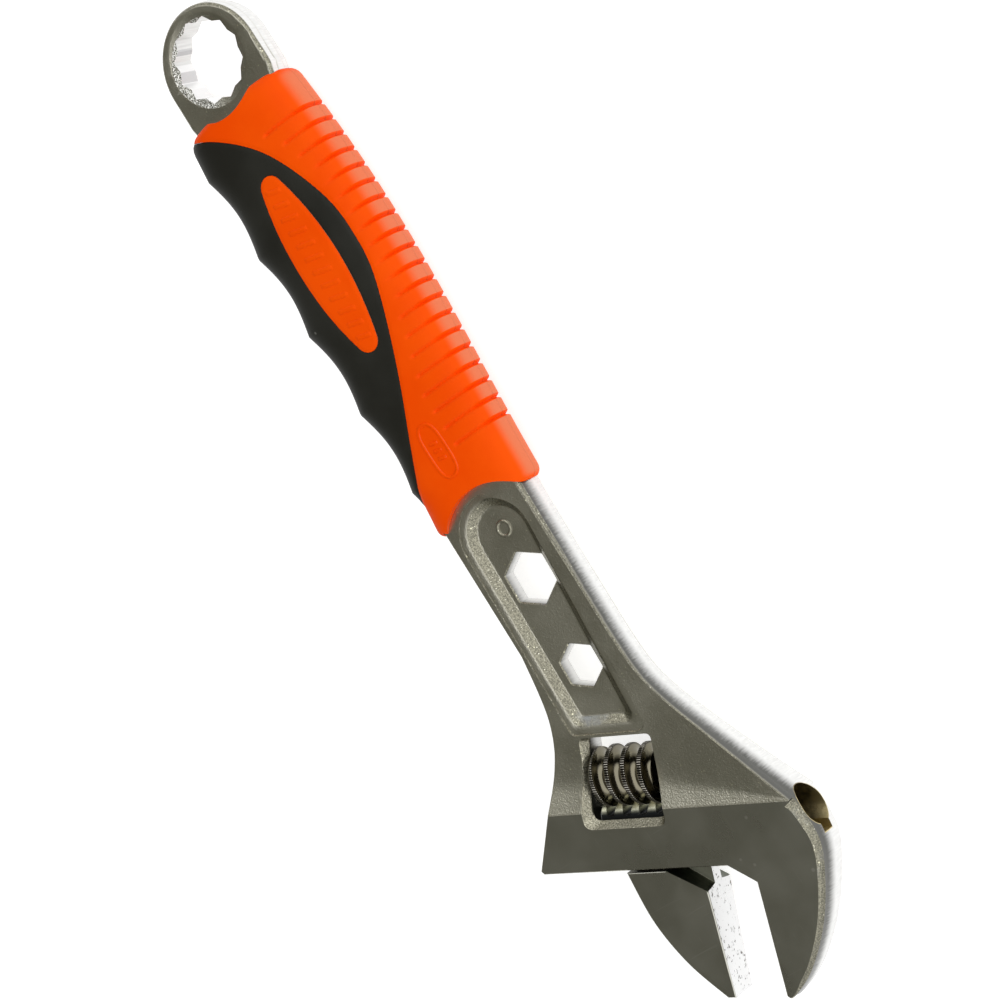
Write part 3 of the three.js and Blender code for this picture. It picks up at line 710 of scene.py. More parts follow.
ring = {
    "offset": 1.6, "outer": 14.6, "edge": 0.9,  # outer edge: its centre, radius and rounding
    "across": 17.2, "half": 3.5,  # hole over its flats, half thickness
    "points": 12, "outRounding": 0.35, "inRounding": 0.5,
    "sink": 0.9, "sinkWidth": 2.4,  # countersink
}
bar = {
    "shoulder": 10.0,  # x where the ring runs into the bar
    "low": ((24, -11.4), (106, -12), (118, -13.7)),
    "high": ((118, 11.8), (106, 10.8), (24, 10.8)),
    "neckLow": -13.7, "neckHigh": 11.2, "neckEnd": 152,
}
crown = {  # the fixed jaw's back in u and v, from its tip to the ground line
    "u": (25.1, 14.9, 4, -4.5, -12, -14.9),
    "v": (14, 19.5, 22.8, 23.8, 21.3, 19.4),
}
shoulders = {  # edges of the head, from the throat
    "low": ((-47.85, -21.6), (-37.75, -27.1), (-29.55, -34.5)),
    "high": ((-15.85, 19), (-26.85, 13.9), (-39.85, 8.3)),
    "neck": ((165, 11.3), (146, 11.2)),
}
panel = {
    "start": 118.0, "end": 175.0, "half": 9.0, "wall": 2.0, "floor": 2.0,
    "land": 1.4, "landDrop": 0.32, "tilt": math.radians(-2.2), "middle": -1.1, "taper": 1.3,
    "mark": 1.7, "markAt": 7.8, "markWire": 0.42,  # raised ring on the floor
}
hexHoles = ((138.3, -1.1, 11.6), (160.6, -2.0, 9.5))  # x, y and distance over the flats
window = {
    "left": -31.2, "right": -12.2, "top": -12.3, "bottomLeft": -29.21, "bottomRight": -32.21,
    "bevel": 1.8, "radii": (1.4, 1.6, 2.4, 2.2),
}
rack = {"axis": -11.5, "radius": 4.2, "gap": 0.3, "web": 1.6, "length": 24.0, "depth": 3.1}
pin = {"radius": 1.5, "head": 2.6, "top": -6.8, "headTop": -34.61, "end": -39.11, "gap": 0.3}
worm = {
    "axis": -21.0, "radius": 7.1, "root": 4.9, "crest": 1.1, "pitch": 4.3, "top": -13.2,
    "length": 16.2, "phase": 0.35, "notches": 78, "notchDepth": 0.34, "pocket": 3.45, "pocketDepth": 4.4,
}
jaw = {"top": -6.4, "height": 19.6, "gap": 0.3, "edge": 0.3}
faceSlope = (head["peak"] - head["tip"]) / (head["reach"] - head["ground"])


def halfThickness(plan):
    # Ring, then neck, then by u and v over the head. The forged face swells from the neck to a height
    # that falls with v; a fan between it and the ground line climbs the rest; past the line the ground
    # face tapers evenly to the jaw tips.
    u, v = toHead(plan)
    flat = ring["half"] + (head["neck"] - ring["half"]) * smooth(plan[..., 0], 11, 17)
    side = np.clip((20 - v) / 35, 0, 1.7)
    meets = head["peak"] - 1.15 * side
    swell = flat + (meets - head["neck"]) * np.clip((u + 46) / (46 + head["ground"]), 0, 1) ** 1.7
    width = 0.4 + 8.2 * side
    fan = np.clip((u - head["ground"] + width) / width, 0, 1)
    rough = swell + (head["peak"] - meets) * fan**1.25
    return np.where(u > head["ground"], head["peak"] - faceSlope * (u - head["ground"]), rough)


def headEdge(plan):
    # width, depth and flatness of the rounding on the curved edges of the head and neck
    u = toHead(plan)[0]
    x, upper = plan[:, 0], plan[:, 1] > -5
    onGround = upper & (u > head["ground"] - 0.3)
    groundWidth = 1.75 - 1.1 * np.clip((u + 14.3) / 45, 0, 1) ** 0.45
    groundWidth = groundWidth * smooth(head["reach"] + 0.5 - u, 0, 4) + 0.2
    neckWidth = 0.45 + 0.15 * smooth(175 - x, 0, 14)
    lowWidth = 0.25 + 0.25 * smooth(176 - x, 0, 20)
    width = np.where(onGround, groundWidth, np.where(upper, neckWidth, lowWidth))
    return width, np.where(upper & ~onGround, 1.9, width), np.where(onGround, 0.8, 0.35 * upper)


def bodyOutline():
    # anticlockwise from the top of the ring, with each point's bevel width, depth and flatness
    r, reach, face, foot = ring["outer"], head["reach"], head["face"], -head["slide"]
    neckLow, neckEnd = bar["neckLow"], bar["neckEnd"]
    low, high = (np.array(head["throat"]) + np.array(shoulders[k]) for k in ("low", "high"))
    tip = fromHead((reach, reach + 0.3, *crown["u"]), (face, face + 2.1, *crown["v"]))
    parts = [
        (arc(ring["offset"], 0, r, 90, 270, 97), ring["edge"], 0.3),
        (line((bar["shoulder"], -r), bar["low"][0]), 1.0, 0),
        (line(*bar["low"][1:]), 0.6, 0),
        (line((neckEnd - 30, neckLow), (neckEnd - 1, neckLow), 6), 0.5, 0),
        (spline([(neckEnd, neckLow), *low], 40), None, None),
        (line(fromHead(-1, foot), fromHead(0, foot + 0.9)), 0.2, 1),
        (line(fromHead(0, -40), fromHead(0, 0), 3), 0.22, 1),
        (line(fromHead(head["step"], face), fromHead(reach, face), 3), 0.2, 1),
        (spline(tip, 110)[6:], None, None),
        (spline([tip[-1], *high, *shoulders["neck"]], 70)[1:], None, None),
        (line(*bar["high"][:2]), 1.2, 0),
        (line(bar["high"][2], (bar["shoulder"], r)), 1.2, 0),
    ]
    edges = []
    for plan, width, flat in parts:
        shape = headEdge(plan) if width is None else (width, width, flat)
        edges.append(np.column_stack([plan, *(np.broadcast_to(k, len(plan)) for k in shape)]))
    outline = np.vstack(edges)
    return outline[:, :2], outline[:, 2], outline[:, 3], outline[:, 4]


def panelOutline(inset, rounding):
    # round at the handle, cut along the slide at the head
    radius = panel["half"] - inset
    centre = panel["start"] + panel["half"]
    fall = math.tan(panel["tilt"]) * (panel["end"] - centre)
    slant = math.tan(-head["angle"]) * (radius - panel["taper"])
    endX = panel["end"] - inset * 1.15
    endY = panel["middle"] + fall
    corners = np.array([
        (endX - slant, endY - radius + panel["taper"] * 0.4),
        (endX + slant, endY + radius - panel["taper"] * 1.6),
    ])
    bow = arc(centre, panel["middle"], radius, 90, 270, 41)
    four = np.vstack([bow[-1:], corners, bow[:1]])
    rounded = roundCorners(four, [0.1, rounding, rounding, 0.1], 8)
    return np.vstack([bow[1:-1], rounded])


def panelCutter():
    # floor, small foot radius, sloping wall, narrow land and a last small step to the neck's face
    low, top, wall, rim = panel["floor"], head["neck"], panel["wall"], -panel["land"]
    land = top - panel["landDrop"]
    levels = [  # inset, height with the land, corner rounding, height without it
        (wall + 0.5, low, 1.2, low),
        (wall + 0.12, low + 0.07, 1.2, low + 0.07),
        (wall - 0.2, low + 0.3, 1.3, low + 0.3),
        (0.8, land - 0.55, 1.6, top - 0.8),
        (0.45, land - 0.27, 1.7, top - 0.45),
        (0.0, land - 0.1, 1.8, top),
        (-0.5, land - 0.02, 2.0, top + 0.3),
        (rim, land + 0.02, 2.4, top + 0.5),
        (rim - 0.25, top + 0.1, 2.5, top + 0.6),
        (rim - 0.3, top + 0.7, 2.5, top + 0.7),
    ]
    rings = []
    for inset, height, rounding, plain in levels:
        # the land fades out on the upper side, where the wall runs straight up to the face
        plan = panelOutline(inset, rounding)
        lower = smooth(panel["middle"] + 6 - plan[:, 1], 0, 7)
        share = np.maximum(lower, smooth(plan[:, 0], 168, 172))
        rings.append(np.column_stack([plan, height * share + plain * (1 - share)]))
    last = rings[-1].copy()
    last[:, :2] += (last[:, :2].mean(0) - last[:, :2]) * 0.99
    last[:, 2] = top + 3
    return ringsMesh("panelCut", np.stack(rings + [last]))


def windowRing(spread, z, followFace=False):
    left, right, top, bottomLeft = (window[k] for k in ("left", "right", "top", "bottomLeft"))
    corners = [(left, top), (left, bottomLeft), (right, window["bottomRight"]), (right, top)]
    outline = roundCorners(corners, window["radii"], 8)
    outward = np.column_stack([outline[:, 0] > (left + right) / 2, outline[:, 1] < (top + bottomLeft) / 2])
    outline = outline + spread * outward * (1, -1)
    plan = fromHead(outline[:, 0], outline[:, 1])
    over = halfThickness(plan) if followFace else 0
    return np.column_stack([plan, np.full(len(outline), z) + over])


def bodyBlank():
    item = plate("forged_body", *bodyOutline(), crown=0.3)
    edit(item, weld(1e-3), triangles, outwards)
    # lines of points where the thickness changes, so that the face can follow it
    cuts = [cutAcross((x, 0, 0), (1, 0, 0)) for x in (9, 11, 12.5, 14, 15.5, 17, 150)]
    for u in np.append(np.arange(-50, head["ground"], 2.2), head["ground"]):
        cuts.append(cutAcross((*fromHead(u, 0), 0), (*headU, 0)))
    for v in np.arange(-45, 24, 4.5):
        cuts.append(cutAcross((*fromHead(0, v), 0), (*headV, 0)))
    edit(item, *cuts, triangles)
    co = readPoints(item)
    half = halfThickness(co)
    # the edge keeps its own depth and moves with the face; the side below it is squeezed to fit
    depth = np.abs(co[:, 2])
    squeezed = depth * (half - edgeDepth) / sideDepth
    co[:, 2] = np.sign(co[:, 2]) * np.where(depth > sideDepth, depth - head["peak"] + half, squeezed)
    writePoints(item, co)
    stage("body blank")
    return item


def cutRing(item):
    # a star of corners at apothem / cos 15 degrees going in and apothem / cos 30 degrees going out
    count = 2 * ring["points"]
    inner = np.arange(count) % 2
    angle = np.arange(count) * math.pi / ring["points"]
    apothem = ring["across"] / 2
    radius = np.where(inner, apothem / math.cos(math.pi / 12), apothem / math.cos(math.pi / 6))
    star = np.column_stack([radius * np.cos(angle), radius * np.sin(angle)])
    star = roundCorners(star, np.where(inner, ring["inRounding"], ring["outRounding"]), 4)
    combine(item, prism("star", star, -9, 9))
    t = np.linspace(0, 2 * math.pi, 96, endpoint=False)
    circle = np.column_stack([np.cos(t), np.sin(t)])
    wide, top = apothem + ring["sinkWidth"], ring["half"]
    levels = [
        (apothem, top - ring["sink"]), (wide - 0.25, top - 0.1), (wide + 0.15, top + 0.01),
        (wide + 1, top + 2),
    ]
    cutBothSides(item, stack("cone", [(circle * r, z) for r, z in levels]))


def cutHexes(item):
    rim = panel["floor"]
    for x, y, across in hexHoles:
        t = panel["tilt"] + np.arange(6) * math.pi / 3
        corner = across / 2 / math.cos(math.pi / 6)
        hexagon = np.column_stack([x + corner * np.cos(t), y + corner * np.sin(t)])
        outline = roundCorners(hexagon, [0.5] * 6, 5)
        combine(item, prism("hex", outline, -9, 9))
        normal = inwards(outline)
        levels = [(0, rim - 0.3), (-0.3, rim + 0.02), (-0.6, rim + 0.5)]
        cutBothSides(item, stack("flare", [(outline + normal * a, z) for a, z in levels]))


def cutWindow(item):
    rim, over = window["bevel"], 1.0
    combine(item, ringsMesh("through", np.stack([windowRing(0, -9), windowRing(0, 9)])))
    levels = [(0.0, -rim - 0.4), (0.15, -rim), (rim, 0), (rim + over, over)]
    cutBothSides(item, ringsMesh("bevel", np.stack([windowRing(a, z, True) for a, z in levels])))


def cutBores(item):
    bore, half = rack["radius"] + rack["gap"], rack["web"] + rack["gap"]
    combine(item, turned("bore", rack["axis"], [(bore, -60), (bore, 40)]))
    combine(item, headBox("slot", rack["axis"], rack["axis"] + 6, -60, 40, half))
    combine(item, headBox("slideway", rack["axis"], head["step"] + 2, -60, head["face"] + 0.4, half))
    for radius, low, high in (("radius", 1, "top"), ("head", 6, "headTop")):
        r = pin[radius] + pin["gap"]
        profile = [(r, pin["end"] - low), (r, pin[high] + 0.3)]
        combine(item, turned("pinBore", worm["axis"], profile, 48))


def addMark(item, side):
    # a small raised ring on the panel's floor: a circle carried round the mark's centre
    rows, columns = 10, 40
    about = np.linspace(0, 2 * math.pi, columns, endpoint=False)
    wire = np.linspace(0, 2 * math.pi, rows, endpoint=False)[:, None]
    r = panel["mark"] + panel["markWire"] * np.cos(wire)
    height = panel["floor"] + panel["markWire"] * np.sin(wire)
    x = panel["start"] + panel["markAt"] + r * np.cos(about)
    spot = np.stack([x, r * np.sin(about), side * height + 0 * about], -1)
    combine(item, edit(newMesh("mark", spot, tubeFaces(rows, columns)), outwards), "UNION")


def makeBody(material):
    item = bodyBlank()
    cutRing(item)
    cutBothSides(item, panelCutter())
    cutHexes(item)
    stage("ring, panels and hex holes")
    cutWindow(item)
    cutBores(item)
    stage("window and bores")
    for side in (1, -1):
        addMark(item, side)
    return place(item, "handle", ["body"], 28, material)


def jawBlank():
    # the movable jaw's plan, tapered in thickness with the ground face of the head
    top, foot = jaw["top"], jaw["top"] - jaw["height"]
    gap, reach = jaw["gap"], head["reach"]
    back = spline([(gap, foot), (12.4, foot + 3.6), (22.6, foot + 9.6), (reach, top - 2.1)], 60)
    plan = np.vstack([[(gap, top)], back, [(reach, top)]])
    outline = fromHead(plan[:, 0], plan[:, 1])
    item = plate("jaw_forging", outline, jaw["edge"], jaw["edge"], 0.3, 3)
    cuts = [cutAcross((*fromHead(u, 0), 0), (*headU, 0)) for u in (4, 8, 12, 18, 24)]
    edit(item, triangles, outwards, *cuts, triangles)
    co = readPoints(item)
    half = head["peak"] - faceSlope * (toHead(co)[0] - head["ground"])
    co[:, 2] = np.sign(co[:, 2]) * (np.abs(co[:, 2]) - head["peak"] + half)
    writePoints(item, co)
    return item


def reliefCutter():
    # the cove beside the throat: its wall leans out with the square of the way down to the web
    top, high = jaw["top"] + 3, head["peak"] + 0.5
    rings = []
    for share in np.linspace(0, 1, 7):
        shift = 2.6 * (1 - share) ** 2
        low, side = jaw["top"] - 9.4 + shift, 5.6 - shift * 0.3
        u = (-2, -2, jaw["gap"], side, side)
        v = (top, low, low, jaw["top"] + 0.02, top)
        rings.append((fromHead(u, v), rack["web"] + share * (high - rack["web"])))
    return edit(stack("relief", rings), outwards)


def rackBar():
    # a round bar with a gap cut across it for each turn of the worm
    top, bottom = jaw["top"], jaw["top"] - rack["length"]
    r, bevel, pitch = rack["radius"], 0.4, worm["pitch"]
    profile = [(r - bevel, bottom), (r, bottom + bevel), (r, top - bevel), (r - bevel, top)]
    item = turned("rack", rack["axis"], profile)
    crestPlace = worm["top"] - worm["phase"] * pitch
    first = crestPlace - math.ceil((crestPlace - top) / pitch) * pitch + pitch
    deep = rack["axis"] - r + rack["depth"]
    narrow = 0.85  # half width of a gap at its foot
    wide = narrow + 0.25 * r
    for v in np.arange(first, bottom - pitch, -pitch):
        corners = [(deep - r, v - wide), (deep - r, v + wide), (deep, v + narrow), (deep, v - narrow)]
        plan = roundCorners(corners, [0.1, 0.1, 0.45, 0.45], 5)
        combine(item, edit(prism("toothGap", fromHead(plan[:, 0], plan[:, 1]), -6, 6), outwards))
    return item


def makeJaw(material):
    item = jawBlank()
    cutBothSides(item, reliefCutter())
    foot = jaw["top"] - jaw["height"]
    web = headBox("web", rack["axis"], jaw["gap"] + 1, foot + 1, jaw["top"], rack["web"])
    combine(item, web, "UNION")
    combine(item, rackBar(), "UNION")
    return place(item, "jaw", ["movable_jaw"], 28, material)


def wormPhases(first, last):
    # places along the pitch, from crest to crest, close together at the crest's edges
    half = worm["crest"] / 2
    valley = (worm["pitch"] - worm["crest"]) / 2
    one = np.unique(np.concatenate([
        np.linspace(0, half - 0.12, 4), half - np.array([0.12, 0.05, 0.0]),
        half + valley * np.linspace(0, 1, 15) ** 1.8,
    ])) / worm["pitch"]
    one = np.concatenate([one, 1 - one[::-1]])
    one = np.unique(np.round(one, 6))[:-1]
    return (np.arange(first, last + 1)[:, None] + one[None]).ravel()


def makeWorm(material):
    # The radius is a function of the angle and of the phase: how far along the pitch a point is from
    # the middle of the crest. Lines of equal phase follow the right-hand helix, so v is the crest's
    # place less the pitch times the turn and the phase, held between the two ends.
    pitch, outer, half = worm["pitch"], worm["radius"], worm["crest"] / 2
    top, bottom = worm["top"], worm["top"] - worm["length"]
    crestPlace = top - worm["phase"] * pitch
    first = math.floor((crestPlace - top) / pitch) - 1
    last = math.ceil((crestPlace - bottom) / pitch) + 1
    phase = wormPhases(first, last)
    columns = worm["notches"] * 5
    turn = np.arange(columns + 1) / columns
    angle = 2 * math.pi * turn
    v = crestPlace - pitch * (turn[None] + phase[:, None])
    aside = np.abs(phase - np.round(phase))[:, None] * pitch
    across = np.clip((aside - half) / ((pitch - worm["crest"]) / 2), 0, 1)
    radius = outer - (outer - worm["root"]) * np.sqrt(1 - (1 - across) ** 2)  # half ellipses
    radius = radius - 0.06 * smooth(aside, half - 0.14, half)
    onCrest = 1 - smooth(aside, half - 0.02, half + 0.12)
    notch = np.clip(np.cos(angle * worm["notches"])[None], -0.35, 1) * 0.5 + 0.5
    radius = radius - worm["notchDepth"] * notch * onCrest
    v = np.clip(v, bottom, top)
    ends = np.minimum(top - v, v - bottom)
    radius = np.minimum(radius, outer - np.maximum(0.5 - ends, 0))  # bevelled ends
    radius = np.broadcast_to(radius, v.shape)
    bore, pocket, step = pin["radius"] + pin["gap"], worm["pocket"], top - worm["pocketDepth"]
    hole = np.array([
        (bore + 0.3, bottom), (bore, bottom + 0.3), (bore, step), (pocket, step), (pocket, top - 0.2),
        (pocket + 0.2, top),
    ])
    inner = hole[:, :, None] * np.ones(columns + 1)
    radius = np.vstack([radius[:1] * 0 + pocket + 0.2, radius, inner[:, 0]])
    v = np.vstack([v[:1] * 0 + top, v, inner[:, 1]])
    flat = fromHead(worm["axis"] + radius * np.cos(angle), v)
    spot = np.dstack([flat, radius * np.sin(angle)])
    item = newMesh("worm_screw", spot, gridFaces(*spot.shape[:2], closed=False))
    edit(item, weld(1e-3), outwards)
    return place(item, "worm", ["worm"], 40, material)


def makePin(material):
    wide, r, bevel, end = pin["head"], pin["radius"], 0.25, pin["end"]
    profile = [
        (wide - bevel, end), (wide, end + bevel), (wide, pin["headTop"] - bevel),
        (wide - bevel, pin["headTop"]), (r, pin["headTop"]), (r, pin["top"] - bevel), (r - bevel, pin["top"]),
    ]
    item = turned("pin_turned", worm["axis"], profile, 64)
    combine(item, headBox("slotCut", worm["axis"] - 4, worm["axis"] + 4, end - 1, end + 1.1, 0.4))
    return place(item, "handle", ["worm_pin"], 30, material)


spring = {"wire": 0.6, "turns": 5, "gap": 0.45, "endGap": 0.3, "length": 4.1}


def makeSpring(material):
    # a wire's circle carried along a helix round the pin, closed at both ends
    wire, turns = spring["wire"] / 2, spring["turns"]
    radius = pin["radius"] + spring["gap"] + wire
    start = window["top"] - spring["endGap"] - wire
    share = np.linspace(0, 1, turns * 28)[:, None]
    about = np.linspace(0, 2 * math.pi, 12, endpoint=False)[None]
    angle = 2 * math.pi * turns * share
    r = radius + wire * np.cos(about)
    v = start - spring["length"] * share + wire * np.sin(about)
    flat = fromHead(worm["axis"] + r * np.cos(angle), v)
    item = ringsMesh("spring_coil", np.dstack([flat, r * np.sin(angle)]))
    edit(item, outwards)
    return place(item, "handle", ["worm_spring"], 40, material)


grip = {
    "start": 12.0, "end": 120.0, "half": 7.55, "endHalf": 6.1, "roundness": 2.8, "skin": 2.0,
    "top": 18.0, "topAt": 50.0, "startDrop": 2.4, "topDrop": 3.9,  # spine
    "bottom": 18.8, "rise": 0.026, "fingerPitch": 21.4, "fingerFirst": 21.8, "fingerDepth": 2.1,
    "grooves": 20, "grooveFirst": 23.4, "groovePitch": 4.28, "grooveWidth": 1.3, "grooveDepth": 0.9,
    "lineEnds": (  # how far down the face each groove runs
        4.9, 8.2, 9.9, 12.1, 13.5, 14.6, 15.3, 15.7, 15.7, 14.9,
        13.5, 11.8, 9.5, 8.4, 6.6, 5.1, 3.6, 3.6, 3.6, 3.6,
    ),
    "arch": (  # seam between the colours, from the grip's start
        (-1.5, -21), (4, -8.5), (14.4, 2.6), (29, 9.5), (41, 11.1), (54, 9.2), (75.5, -0.3), (106, -18.6),
    ),
    "startSteps": (0, 0.1, 0.35, 0.8, 1.4, 2.1, 3), "endSteps": (2.2, 1.6, 1.1, 0.7, 0.35, 0.1, 0),
}
badge = {
    "x": 53.8, "y": -0.9, "half": 23.1, "rise": 6.2, "blunt": 3.1,
    "bars": 12, "barFirst": 34.5, "barPitch": 3.5, "height": 0.25,
}
sizeOval = {"x": 103.5, "y": -1.1, "half": (6.6, 2.7), "rim": 0.4, "height": 0.24}


def spineHeight(x):
    toStart = (grip["topAt"] - x) / (grip["topAt"] - grip["start"])
    rise = np.where(x < grip["topAt"], toStart**2 * grip["startDrop"], 0)
    return grip["top"] - rise - grip["topDrop"] * smooth(x, grip["topAt"], grip["end"] + 12)


def lowerHeight(x):
    # a straight line of ridges with a finger scallop between each two: depth times |sin|
    ridge = grip["bottom"] - grip["rise"] * (x - grip["fingerFirst"])
    swing = np.abs(np.sin(math.pi * (x - grip["fingerFirst"]) / grip["fingerPitch"]))
    lastRidge = grip["fingerFirst"] + 4 * grip["fingerPitch"]
    fade = 1 - smooth(x, lastRidge, grip["end"])
    fingers = ridge - grip["fingerDepth"] * swing * (0.75 + 0.25 * fade) * fade
    return np.where(x < grip["fingerFirst"], ridge - 0.14 * (grip["fingerFirst"] - x), fingers)


def halfHeight(x):
    return grip["half"] + (grip["endHalf"] - grip["half"]) * smooth(x, grip["topAt"] + 10, grip["end"])


def power(t, exponent):
    # keeps the sign of t
    return np.sign(t) * np.abs(t) ** exponent


def sectionAngles(count):
    # angles that space the points of the rounded section evenly along it
    t = np.linspace(0, 2 * math.pi, 8001)
    k = 2 / grip["roundness"]
    y = power(np.cos(t), k) * 17
    z = power(np.sin(t), k) * 7.6
    length = np.concatenate([[0], np.cumsum(np.hypot(np.diff(y), np.diff(z)))])
    return np.interp(np.linspace(0, length[-1], count, endpoint=False), length, t)


def archLine(spread, count=160):
    curve = spline([(grip["start"] + x, y) for x, y in grip["arch"]], count)
    tangent = np.gradient(curve, axis=0)
    tangent /= np.linalg.norm(tangent, axis=1)[:, None]
    return curve + spread * np.column_stack([tangent[:, 1], -tangent[:, 0]])


def archOutline(spread):
    curve = archLine(spread)
    closed = np.vstack([curve, [(curve[-1, 0], -30), (curve[0, 0], -30)]])
    return closed[::-1]


def badgeOutline(spread):
    # a thin lens of two circular arcs, grown by its end radius: R = (a squared + b squared) / 2b
    x, y, end = badge["x"], badge["y"], badge["blunt"] + spread
    half, rise = badge["half"] - badge["blunt"], badge["rise"] - badge["blunt"]
    big = (half**2 + rise**2) / (2 * rise)
    swing = math.degrees(math.asin(half / big))
    return np.vstack([
        arc(x, y + rise - big, big + end, 90 - swing, 90 + swing, 40)[:-1],
        arc(x - half, y, end, 90 + swing, 270 - swing, 16)[:-1],
        arc(x, y - rise + big, big + end, 270 - swing, 270 + swing, 40)[:-1],
        arc(x + half, y, end, swing - 90, 90 - swing, 16)[:-1],
    ])


def distanceTo(plan, curve):
    # distance from each point to the nearest segment of a polyline, a batch of points at a time
    a, b = curve[:-1], curve[1:]
    ab = b - a
    best = np.full(len(plan), 1e9)
    batch = 20000
    for part in range(0, len(plan), batch):
        p = plan[part:part + batch, None]
        t = np.clip(((p - a) * ab).sum(-1) / (ab**2).sum(-1), 0, 1)
        best[part:part + batch] = np.linalg.norm(p - a - t[..., None] * ab, axis=-1).min(1)
    return best


def gripRings(stations, angles, inset=0.0, grooved=False, lip=0.0, sunk=0.0):
    # A section whose coordinates are the cosine and sine raised to 2 / roundness, as high as the spine,
    # as deep as the finger side and as thick as the grip at that station. Grooves cut in from the
    # spine and run out down the faces; the lip rounds off what meets the other colour.
    x = stations[:, None]
    past = np.clip(1 - (x - grip["start"]) / 3, 0, 1)
    last = np.clip(1 - (grip["end"] - x) / 2.2, 0, 1)
    endRound = 3 * (1 - np.sqrt(1 - past**2)) + 2.2 * (1 - np.sqrt(1 - last**2))
    top = spineHeight(x) - inset - endRound
    bottom = lowerHeight(x) - inset - endRound
    half = halfHeight(x) - inset - 0.4 * endRound
    k = 2 / grip["roundness"]
    c, s = np.cos(angles)[None], np.sin(angles)[None]
    y = power(c, k) * np.where(c > 0, top, bottom)
    z = power(s, k) * half
    x = np.broadcast_to(x, y.shape)
    sink = np.full(y.shape, float(sunk))
    if grooved:
        index = np.round((x - grip["grooveFirst"]) / grip["groovePitch"])
        index = np.clip(index, 0, grip["grooves"] - 1).astype(int)
        aside = np.abs(x - grip["grooveFirst"] - index * grip["groovePitch"])
        cut = 1 - smooth(aside, 0.0, grip["grooveWidth"] / 2)
        end = np.array(grip["lineEnds"])[index]
        deep = grip["grooveDepth"] * smooth(y, 0.6 * top, 0.92 * top)
        shallow = 0.5 * smooth(y, end - 0.4, end + 0.6)
        sink += cut * np.maximum(deep, shallow)
    if lip:
        plan = np.stack([x, y], -1).reshape(-1, 2)
        loop = badgeOutline(0)
        near = np.minimum(distanceTo(plan, archLine(0)), distanceTo(plan, np.vstack([loop, loop[:1]])))
        sink += lip * np.exp(-(near.reshape(y.shape) / 0.42) ** 2)
    ty = np.roll(y, -1, 1) - np.roll(y, 1, 1)
    tz = np.roll(z, -1, 1) - np.roll(z, 1, 1)
    length = np.maximum(np.hypot(ty, tz), 1e-9)
    return np.stack([x, y - sink * tz / length, z + sink * ty / length], -1)


def gripBlock(name, stations, angles, **how):
    return edit(ringsMesh(name, gripRings(stations, angles, **how)), triangles, outwards)


def gripCore(inset):
    starts = grip["start"] + np.array([0, 0.5, 1.5, 3])
    stations = np.concatenate([starts, np.arange(17, 119, 2.0), [grip["end"]]])
    return gripBlock("core", stations, sectionAngles(64), inset=inset)


def inlayPrism(name, spread):
    item = edit(prism(name, archOutline(spread), -12, 12), outwards)
    return combine(item, edit(prism("badgeHole", badgeOutline(spread), -13, 13), outwards))


def trimEnds(item, spread):
    # round cuts past the ring and past the neck's panel
    for x, y, radius, count in ((0, 0.3, 14.3, 129), (grip["end"] + 11.8, -0.2, 17, 161)):
        circle = arc(x, y, radius + spread, 0, 360, count)[:-1]
        combine(item, edit(prism("endCut", circle, -14, 14), outwards))


def tangBlock():
    # the bar inside the grip, a little larger all round
    gap, r = 0.06, ring["outer"]
    low = [(ring["offset"], -r), (bar["shoulder"], -r), *bar["low"], (bar["neckEnd"], bar["neckLow"])]
    high = [(bar["neckEnd"], bar["neckHigh"]), *bar["high"], (bar["shoulder"], r), (ring["offset"], r)]
    outline = np.array(low + high)
    outline[:, 1] += np.where(outline[:, 1] > 0, gap, -gap)
    rounding = np.full(len(outline), 0.5)
    rounding[[1, 2, 9, 10]], rounding[[7, 8]] = 0.95, 1.1
    return edit(plate("tang", outline, rounding, rounding, half=head["neck"] + gap), outwards)


def makeSleeve(material):
    grooves = grip["grooveFirst"] + np.arange(grip["grooves"]) * grip["groovePitch"]
    near = grooves[:, None] + np.array([-0.65, -0.42, -0.2, 0, 0.2, 0.42, 0.65])
    between = grooves[:, None] + np.array([1.15, 1.65, 2.14, 2.63, 3.13])
    stations = np.unique(np.round(np.concatenate([
        near.ravel(), between.ravel(), grip["start"] + np.array(grip["startSteps"]),
        np.arange(16, 22.5, 0.6), np.arange(108.4, 117.6, 0.58), grip["end"] - np.array(grip["endSteps"]),
    ]), 4))
    item = gripBlock("sleeve_moulding", stations, sectionAngles(184), grooved=True, lip=0.2)
    under = inlayPrism("under", 0.0)
    combine(under, gripCore(grip["skin"] + 0.3))
    combine(item, under)
    combine(item, tangBlock())
    trimEnds(item, 0.0)
    return place(item, "handle", ["grip_sleeve"], 42, material)


def makeInlay(material):
    stations = np.concatenate([
        grip["start"] + np.array(grip["startSteps"]), np.arange(15.6, 117.6, 0.62),
        grip["end"] - np.array(grip["endSteps"]),
    ])
    item = gripBlock("inlay_moulding", stations, sectionAngles(160), lip=0.16, sunk=0.1)
    combine(item, inlayPrism("region", 0.1), "INTERSECT")
    combine(item, gripCore(grip["skin"]))
    combine(item, tangBlock())
    trimEnds(item, 0.1)
    return place(item, "handle", ["grip_inlay"], 42, material)


def faceHeight(x, y):
    # height of the grip's face over the middle plane: the rounded section solved for z
    reach = np.where(y > 0, spineHeight(x), lowerHeight(x))
    return halfHeight(x) * (1 - np.abs(y / reach) ** grip["roundness"]) ** (1 / grip["roundness"])


def onFace(x, y, side, rise):
    return np.stack([x, y, side * (faceHeight(x, y) + rise)], -1)


